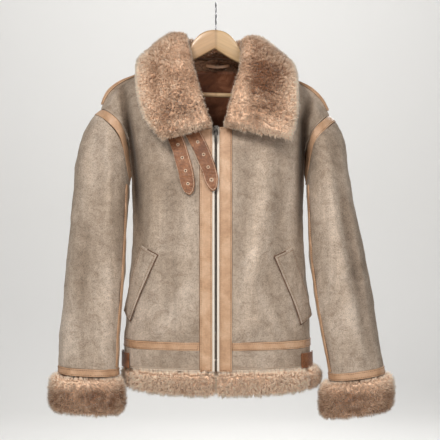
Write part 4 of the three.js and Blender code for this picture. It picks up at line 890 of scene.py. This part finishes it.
# the strands: most on the face, the rest along the free edge and the end, where they turn outwards
sideA, sideB = furSide[1:, :-1] - furSide[:-1, :-1], furSide[:-1, 1:] - furSide[:-1, :-1]
cellArea = np.linalg.norm(np.cross(sideA, sideB), axis=-1)
for half, (first, last) in enumerate(((0, (rows - 1) // 2), ((rows - 1) // 2, rows - 1))):
    rng = np.random.default_rng(60 + half)
    area = cellArea[first:last].ravel()
    pick = rng.choice(len(area), int(collar["strands"] * collar["onFace"]), p=area / area.sum())
    s = first + pick // (cols - 1) + rng.random(len(pick))
    t = pick % (cols - 1) + rng.random(len(pick))
    rim = collar["strands"] - len(pick)
    endOf = 0 if half == 0 else rows - 1
    ends = rim // 4
    s = np.concatenate([s, rng.uniform(first, last, rim - ends),
                        endOf + (1 - 2 * half) * rng.random(ends) * 2.0])
    t = np.concatenate([t, cols - 1 - rng.random(rim - ends) * 2.0,
                        rng.uniform(cols * 0.1, cols - 1, ends)])
    s, t = np.clip(s, 0, rows - 1.001), np.clip(t, 0, cols - 1.001)
    i, j, u, v = s.astype(int), t.astype(int), (s % 1)[:, None], (t % 1)[:, None]

    def at(field):
        # a field's value between the four nearest points of the grid
        near = field[i, j] * (1 - u) + field[i + 1, j] * u
        return near * (1 - v) + (field[i, j + 1] * (1 - u) + field[i + 1, j + 1] * u) * v

    edge = np.clip(1 - at(toEdge[..., None]) / collar["edgeTurn"], 0, 1) ** 1.5
    ending = np.clip(1 - at(toEnds[..., None]) / collar["endTurn"], 0, 1) ** 1.5
    turn = np.minimum(edge * rng.uniform(0.5, 2.1, len(s))[:, None], 2.0)
    outEnd = at(around) * (-1 if half == 0 else 1)
    ways = unit(at(furWay) * np.cos(turn) + at(across) * np.sin(turn) * (edge > 0)
                + outEnd * ending * rng.uniform(0.4, 1.8, len(s))[:, None])
    ways *= at(slim[..., None] + 0 * toEdge[..., None])
    roots = at(furSide)
    lean = at(across) * 0.22 + np.array([0, 0, -0.12])
    nearRim = np.clip(1 - at(toEdge[..., None]) / collar["paleRim"], 0, 1)[:, 0]
    pale = toneOf(roots, 50, collar["patches"]) + collar["pale"] + collar["rimPaler"] * nearRim
    name = "collar_pile_left" if half == 0 else "collar_pile_right"
    pieceFrom(name, pileOn(name, roots, ways, lean, collar, pale, 70 + half), fur, "fur", "collar")
print("collar made")

# each piece's "pale" shifts its wool paler or darker; the hem's right front is set paler than its left, a
# painted highlight for the light falling more on that side
furs = {
    "hem_fur_left": {"strands": 9000, "pale": 0.40}, "hem_fur_right": {"strands": 10000, "pale": 0.56},
    "hem_fur_back": {"strands": 19000, "pale": 0.30},
    "cuff_fur_left": {"strands": 17000, "pale": -0.30}, "cuff_fur_right": {"strands": 17000, "pale": -0.28},
}
# the skin lies under the CAD surface, with lumps, and the strands stand on it
bands = {"under": 0.0060, "lumps": 0.0012, "footPaler": 0.45}
hemWool = {"length": 0.0125, "width": 0.0006, "clump": 0.52, "curly": 0.30, "loose": 0.22, "perLock": 12,
           "topPaler": 0.40}
# on the cuffs the top is set much paler, a painted highlight where the top fringe catches the light
cuffWool = {"length": 0.0110, "width": 0.00058, "clump": 0.60, "curly": 0.16, "loose": 0.20, "perLock": 14,
            "topPaler": 1.05}
for number, (node, own) in enumerate(furs.items()):
    wool = cuffWool if node.startswith("cuff") else hemWool
    mesh = finer(mergedMesh(node, crease=0.0), 2)
    points, normals = pointsOf(mesh), normalsOf(mesh)
    deep = bands["under"] + bands["lumps"] * waves(points, 0.016, 20 + number)
    setPoints(mesh, points - normals * deep[:, None])
    low, high = points[:, 2].min(), points[:, 2].max()

    def paleAt(places):
        # paler towards the top and at the foot
        rise = np.clip((places[:, 2] - high) / (high - low) * 2.2 + 1, 0, 1)
        foot = np.clip((low - places[:, 2]) / (high - low) * 4 + 1, 0, 1)
        paler = own["pale"] + wool["topPaler"] * rise + bands["footPaler"] * foot
        return toneOf(places, 54 + number) + paler

    putAttribute(mesh, "pile", np.clip(0.48 + 0.12 * waves(points, 0.010, 30 + number), 0, 0.8))
    putAttribute(mesh, "tone", np.clip(paleAt(points), 0, 1))
    pieceFrom(node + "_skin", mesh, fur, "fur", node)
    roots, ways = scattered(mesh, own["strands"], np.random.default_rng(80 + number))
    outward = unit(ways * np.array([1, 1, 0]))
    below = np.clip(0.7 - ways[:, 2], 0, 1.2)[:, None]
    lean = np.array([0, 0, -0.34]) * below + outward * 0.15
    pile = pileOn(node + "_pile", roots, ways, lean, wool, paleAt(roots), 90 + number)
    pieceFrom(node + "_pile", pile, fur, "fur", node)
print("hem and cuffs made")


# the zip: teeth in two rows, woven tapes, the slider and its pull

def metalMaterial(name, colour, roughness, scratch=0.2):
    # metal with cloudy tarnish and fine upright scratches
    material, tree, shader = newMaterial(name)
    coords = coordsOf(tree)
    dull, bright = tuple(c * 0.7 for c in colour), tuple(min(c * 1.15, 1) for c in colour)
    tone = rampOf(tree, noiseOf(tree, coords, 140, 4, 0.7), [(0.35, dull), (0.62, bright)])
    tree.links.new(tone, shader.inputs["Base Color"])
    scratches = bumpOf(tree, noiseOf(tree, coordsOf(tree, (8, 8, 1)), 420, 3), 0.0003, scratch)
    tree.links.new(scratches, shader.inputs["Normal"])
    shader.inputs["Roughness"].default_value = roughness
    shader.inputs["Metallic"].default_value = 1.0
    return material


def wovenMaterial(name, light, dark, threads):
    # a slanting weave, threads to the metre
    material, tree, shader = newMaterial(name)
    coords = coordsOf(tree)
    weave = tree.nodes.new("ShaderNodeTexWave")
    weave.inputs["Scale"].default_value = threads
    weave.bands_direction = "DIAGONAL"
    weave.inputs["Distortion"].default_value = 1.5
    tree.links.new(coords, weave.inputs["Vector"])
    tree.links.new(rampOf(tree, weave.outputs["Fac"], [(0.2, dark), (0.7, light)]), shader.inputs["Base Color"])
    tree.links.new(bumpOf(tree, weave.outputs["Fac"], 0.0004, 0.5), shader.inputs["Normal"])
    shader.inputs["Roughness"].default_value = 0.9
    return material


zipMetal = metalMaterial("zipMetal", (0.22, 0.20, 0.175), 0.40)
sliderMetal = metalMaterial("sliderMetal", (0.085, 0.078, 0.070), 0.45)
steelWire = metalMaterial("steelWire", (0.40, 0.40, 0.42), 0.28)
zipCloth = wovenMaterial("zipCloth", (0.98, 0.92, 0.83), (0.80, 0.72, 0.61), 700)
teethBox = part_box("zip_teeth")
zipper = {"pitch": 0.0029, "tall": 0.0015, "wide": 0.0027, "deep": 0.0018, "offset": 0.00085, "sunk": 0.0004}
strip = pointsOf(cad["zip_teeth"].data)
strip = strip[np.argsort(strip[:, 2])]
levels = np.arange(teethBox[0].z + 0.002, teethBox[1].z - 0.001, zipper["pitch"] / 2)
binned = np.linspace(teethBox[0].z, teethBox[1].z, 14)
front = np.array([strip[np.abs(strip[:, 2] - z) < 0.03, 1].min() for z in binned])
side = np.where(np.arange(len(levels)) % 2, 1.0, -1.0)
middle = np.stack([side * zipper["offset"], np.interp(levels, binned, front) + zipper["sunk"], levels], 1)
corner = np.array([[x, y, z] for x in (-0.5, 0.5) for y in (-0.5, 0.5) for z in (-0.5, 0.5)])
corner = corner * np.array([zipper["wide"], zipper["deep"], zipper["tall"]])
corner[:, 2] *= np.where(corner[:, 1] < 0, 0.7, 1.0)
points = (middle[:, None] + corner[None]).reshape(-1, 3)
box = np.array([[0, 1, 3, 2], [4, 6, 7, 5], [0, 4, 5, 1], [2, 3, 7, 6], [0, 2, 6, 4], [1, 5, 7, 3]])
faces = (np.arange(len(levels))[:, None, None] * 8 + box).reshape(-1, 4).tolist()
teeth = roundedRims(meshFrom("zip_teeth_metal", points, faces), 0.00025, 1)
pieceFrom("zip_teeth_metal", teeth, zipMetal, "zip_metal", "zip_teeth")
for node in ["zip_tape_left", "zip_tape_right"]:
    cad[node].data.materials.clear()
    cad[node].data.materials.append(zipCloth)
for node, name in (("zip_slider", "jacket"), ("zip_pull", "zip_pull")):
    mesh = roundedRims(mergedMesh(node), 0.0004)
    pieceFrom(node + "_metal", mesh, sliderMetal, "zip_metal", node, body=name)
print("zip made")

# the wool inside the back of the neck

points, normals = pointsOf(cad["back"].data), normalsOf(cad["back"].data)
corners = trianglesOf(cad["back"].data)
middle = points[corners].mean(1)
a, b, c = (points[corners[:, i]] for i in range(3))
keep = (middle[:, 2] > neck["woolLow"]) & (np.abs(middle[:, 0]) < neck["woolHalf"])
keep &= (np.cross(b - a, c - a)[:, 1] < 0) & (middle[:, 1] > neck["behind"])
patch = meshFrom("neck_patch", points, corners[keep].tolist())
roots, ways = scattered(patch, neck["strands"], np.random.default_rng(110))
high = roots[:, 2] > neck["foot"]
roots, ways = roots[high], ways[high]
ways = np.where((ways[:, 1] > 0)[:, None], -ways, ways)
neckWool = {"length": 0.0055, "width": 0.0006, "clump": 0.45, "curly": 0.8, "loose": 0.2, "perLock": 26}
tone = 0.70 + 0.3 * waves(roots, 0.02, 111)
pile = pileOn("neck_pile", roots, ways, np.array([0, 0, -0.2]), neckWool, tone, 112)
# the neck wool takes the darker fur, painted shade
pieceFrom("neck_pile", pile, shadedFur, "fur")

# lining, hanger and hook

def liningMaterial():
    # brown lining cloth with cloudy tones and soft upright wrinkles
    material, tree, shader = newMaterial("lining")
    coords = coordsOf(tree)
    tone = rampOf(tree, noiseOf(tree, coords, 30, 5, 0.6, 1.2),
                  [(0.3, (0.10, 0.030, 0.012)), (0.55, (0.19, 0.066, 0.028)), (0.75, (0.32, 0.13, 0.065))])
    tree.links.new(tone, shader.inputs["Base Color"])
    wrinkles = bumpOf(tree, noiseOf(tree, coordsOf(tree, (1, 1, 0.35)), 45, 4, 0.5, 0.8), 0.004, 0.6)
    tree.links.new(wrinkles, shader.inputs["Normal"])
    shader.inputs["Roughness"].default_value = 0.55
    shader.inputs["Specular IOR Level"].default_value = 0.3
    return material


def woodMaterial():
    # growth lines run along each arm, mirrored at the joint in the middle
    material, tree, shader = newMaterial("wood")
    where = tree.nodes.new("ShaderNodeTexCoord")
    split = tree.nodes.new("ShaderNodeSeparateXYZ")
    tree.links.new(where.outputs["Object"], split.inputs[0])
    away = tree.nodes.new("ShaderNodeMath")
    away.operation = "ABSOLUTE"
    tree.links.new(split.outputs[0], away.inputs[0])
    drop = tree.nodes.new("ShaderNodeMath")
    drop.operation = "MULTIPLY_ADD"
    drop.inputs[1].default_value = 0.5
    tree.links.new(away.outputs[0], drop.inputs[0])
    tree.links.new(split.outputs[2], drop.inputs[2])
    joined = tree.nodes.new("ShaderNodeCombineXYZ")
    tree.links.new(away.outputs[0], joined.inputs[0])
    tree.links.new(split.outputs[1], joined.inputs[1])
    tree.links.new(drop.outputs[0], joined.inputs[2])
    stretch = tree.nodes.new("ShaderNodeMapping")
    stretch.inputs["Scale"].default_value = (0.10, 1.0, 1.0)
    tree.links.new(joined.outputs[0], stretch.inputs["Vector"])
    lines = noiseOf(tree, stretch.outputs[0], 170, 5, 0.62, 0.6)
    bands = noiseOf(tree, stretch.outputs[0], 34, 3, 0.5, 0.8)
    colour = mixOf(tree, 1.0, rampOf(tree, bands, [(0.3, (0.58, 0.385, 0.20)), (0.7, (0.66, 0.46, 0.255))]),
                   rampOf(tree, lines, [(0.36, grey(0.90)), (0.6, grey(1.04))]), "MULTIPLY")
    joint = rampOf(tree, away.outputs[0], [(0.0, grey(0.82)), (0.0002, grey(0.85)), (0.0006, grey(1))])
    half = rampOf(tree, split.outputs[0], [(0.0, (0.96, 0.91, 0.93)), (0.0006, grey(1.03))])
    colour = mixOf(tree, 1.0, mixOf(tree, 1.0, colour, joint, "MULTIPLY"), half, "MULTIPLY")
    tree.links.new(colour, shader.inputs["Base Color"])
    tree.links.new(bumpOf(tree, lines, 0.0004, 0.3), shader.inputs["Normal"])
    shader.inputs["Roughness"].default_value = 0.34
    shader.inputs["Coat Weight"].default_value = 0.25
    shader.inputs["Coat Roughness"].default_value = 0.2
    return material


lining = liningMaterial()
mesh = finer(mergedMesh("lining_back"), 2)
points, normals = pointsOf(mesh), normalsOf(mesh)
# small gathers under its top edge, a seam down the middle and soft waves all over
cloth = {"gather": 0.0012, "gatherRate": 380, "gatherReach": 0.02, "seam": 0.0022, "seamX": 0.002,
         "seamWidth": 0.0022, "wave": 0.0008}
gathers = cloth["gather"] * np.sin(points[:, 0] * cloth["gatherRate"] + 3 * waves(points, 0.05, 31))
gathers *= np.exp(-((points[:, 2] - points[:, 2].max()) / cloth["gatherReach"]) ** 2)
seam = cloth["seam"] * np.exp(-((points[:, 0] - cloth["seamX"]) / cloth["seamWidth"]) ** 2)
setPoints(mesh, points + normals * (gathers - seam + cloth["wave"] * waves(points, 0.03, 32))[:, None])
pieceFrom("lining_back_cloth", mesh, lining, "lining", "lining_back")

wood = woodMaterial()
board = roundedRims(finer(mergedMesh("hanger_board", crease=0.85, sharpFrom=35), levels=2), width=0.0008)
pieceFrom("hanger_board_wood", board, wood, "wood", "hanger_board")
bar = finer(mergedMesh("hanger_bar"), levels=1)
pieceFrom("hanger_bar_wood", bar, wood, "wood", "hanger_bar")
hook = finer(mergedMesh("hanger_hook", sharpFrom=60), levels=2)
pieceFrom("hanger_hook_wire", hook, steelWire, "steel", "hanger_hook")
print("hanger made")

# pale floor curving up into a backdrop

studio = {"floorZ": -1.25, "wallY": 3.5, "curve": 0.9, "front": -6.0, "top": 3.5, "half": 6.0}
bend = np.linspace(0, np.pi / 2, 16)
curveY = studio["wallY"] - studio["curve"] * (1 - np.sin(bend))
curveZ = studio["floorZ"] + studio["curve"] * (1 - np.cos(bend))
profileY = np.concatenate([[studio["front"]], curveY, [studio["wallY"]]])
profileZ = np.concatenate([[studio["floorZ"]], curveZ, [studio["top"]]])
sides = (-studio["half"], studio["half"])
sweep = np.stack([np.stack([np.full_like(profileY, x), profileY, profileZ], 1) for x in sides])
faces = quadsOf(np.arange(2 * len(profileY)).reshape(2, -1)).tolist()
backdrop = bpy.data.objects.new("backdrop", meshFrom("backdrop", sweep.reshape(-1, 3), faces))
bpy.context.scene.collection.objects.link(backdrop)
paper, tree, shader = newMaterial("paper")
shader.inputs["Base Color"].default_value = (0.84, 0.83, 0.81, 1)
shader.inputs["Roughness"].default_value = 0.95
backdrop.data.materials.append(paper)
print("stage made")
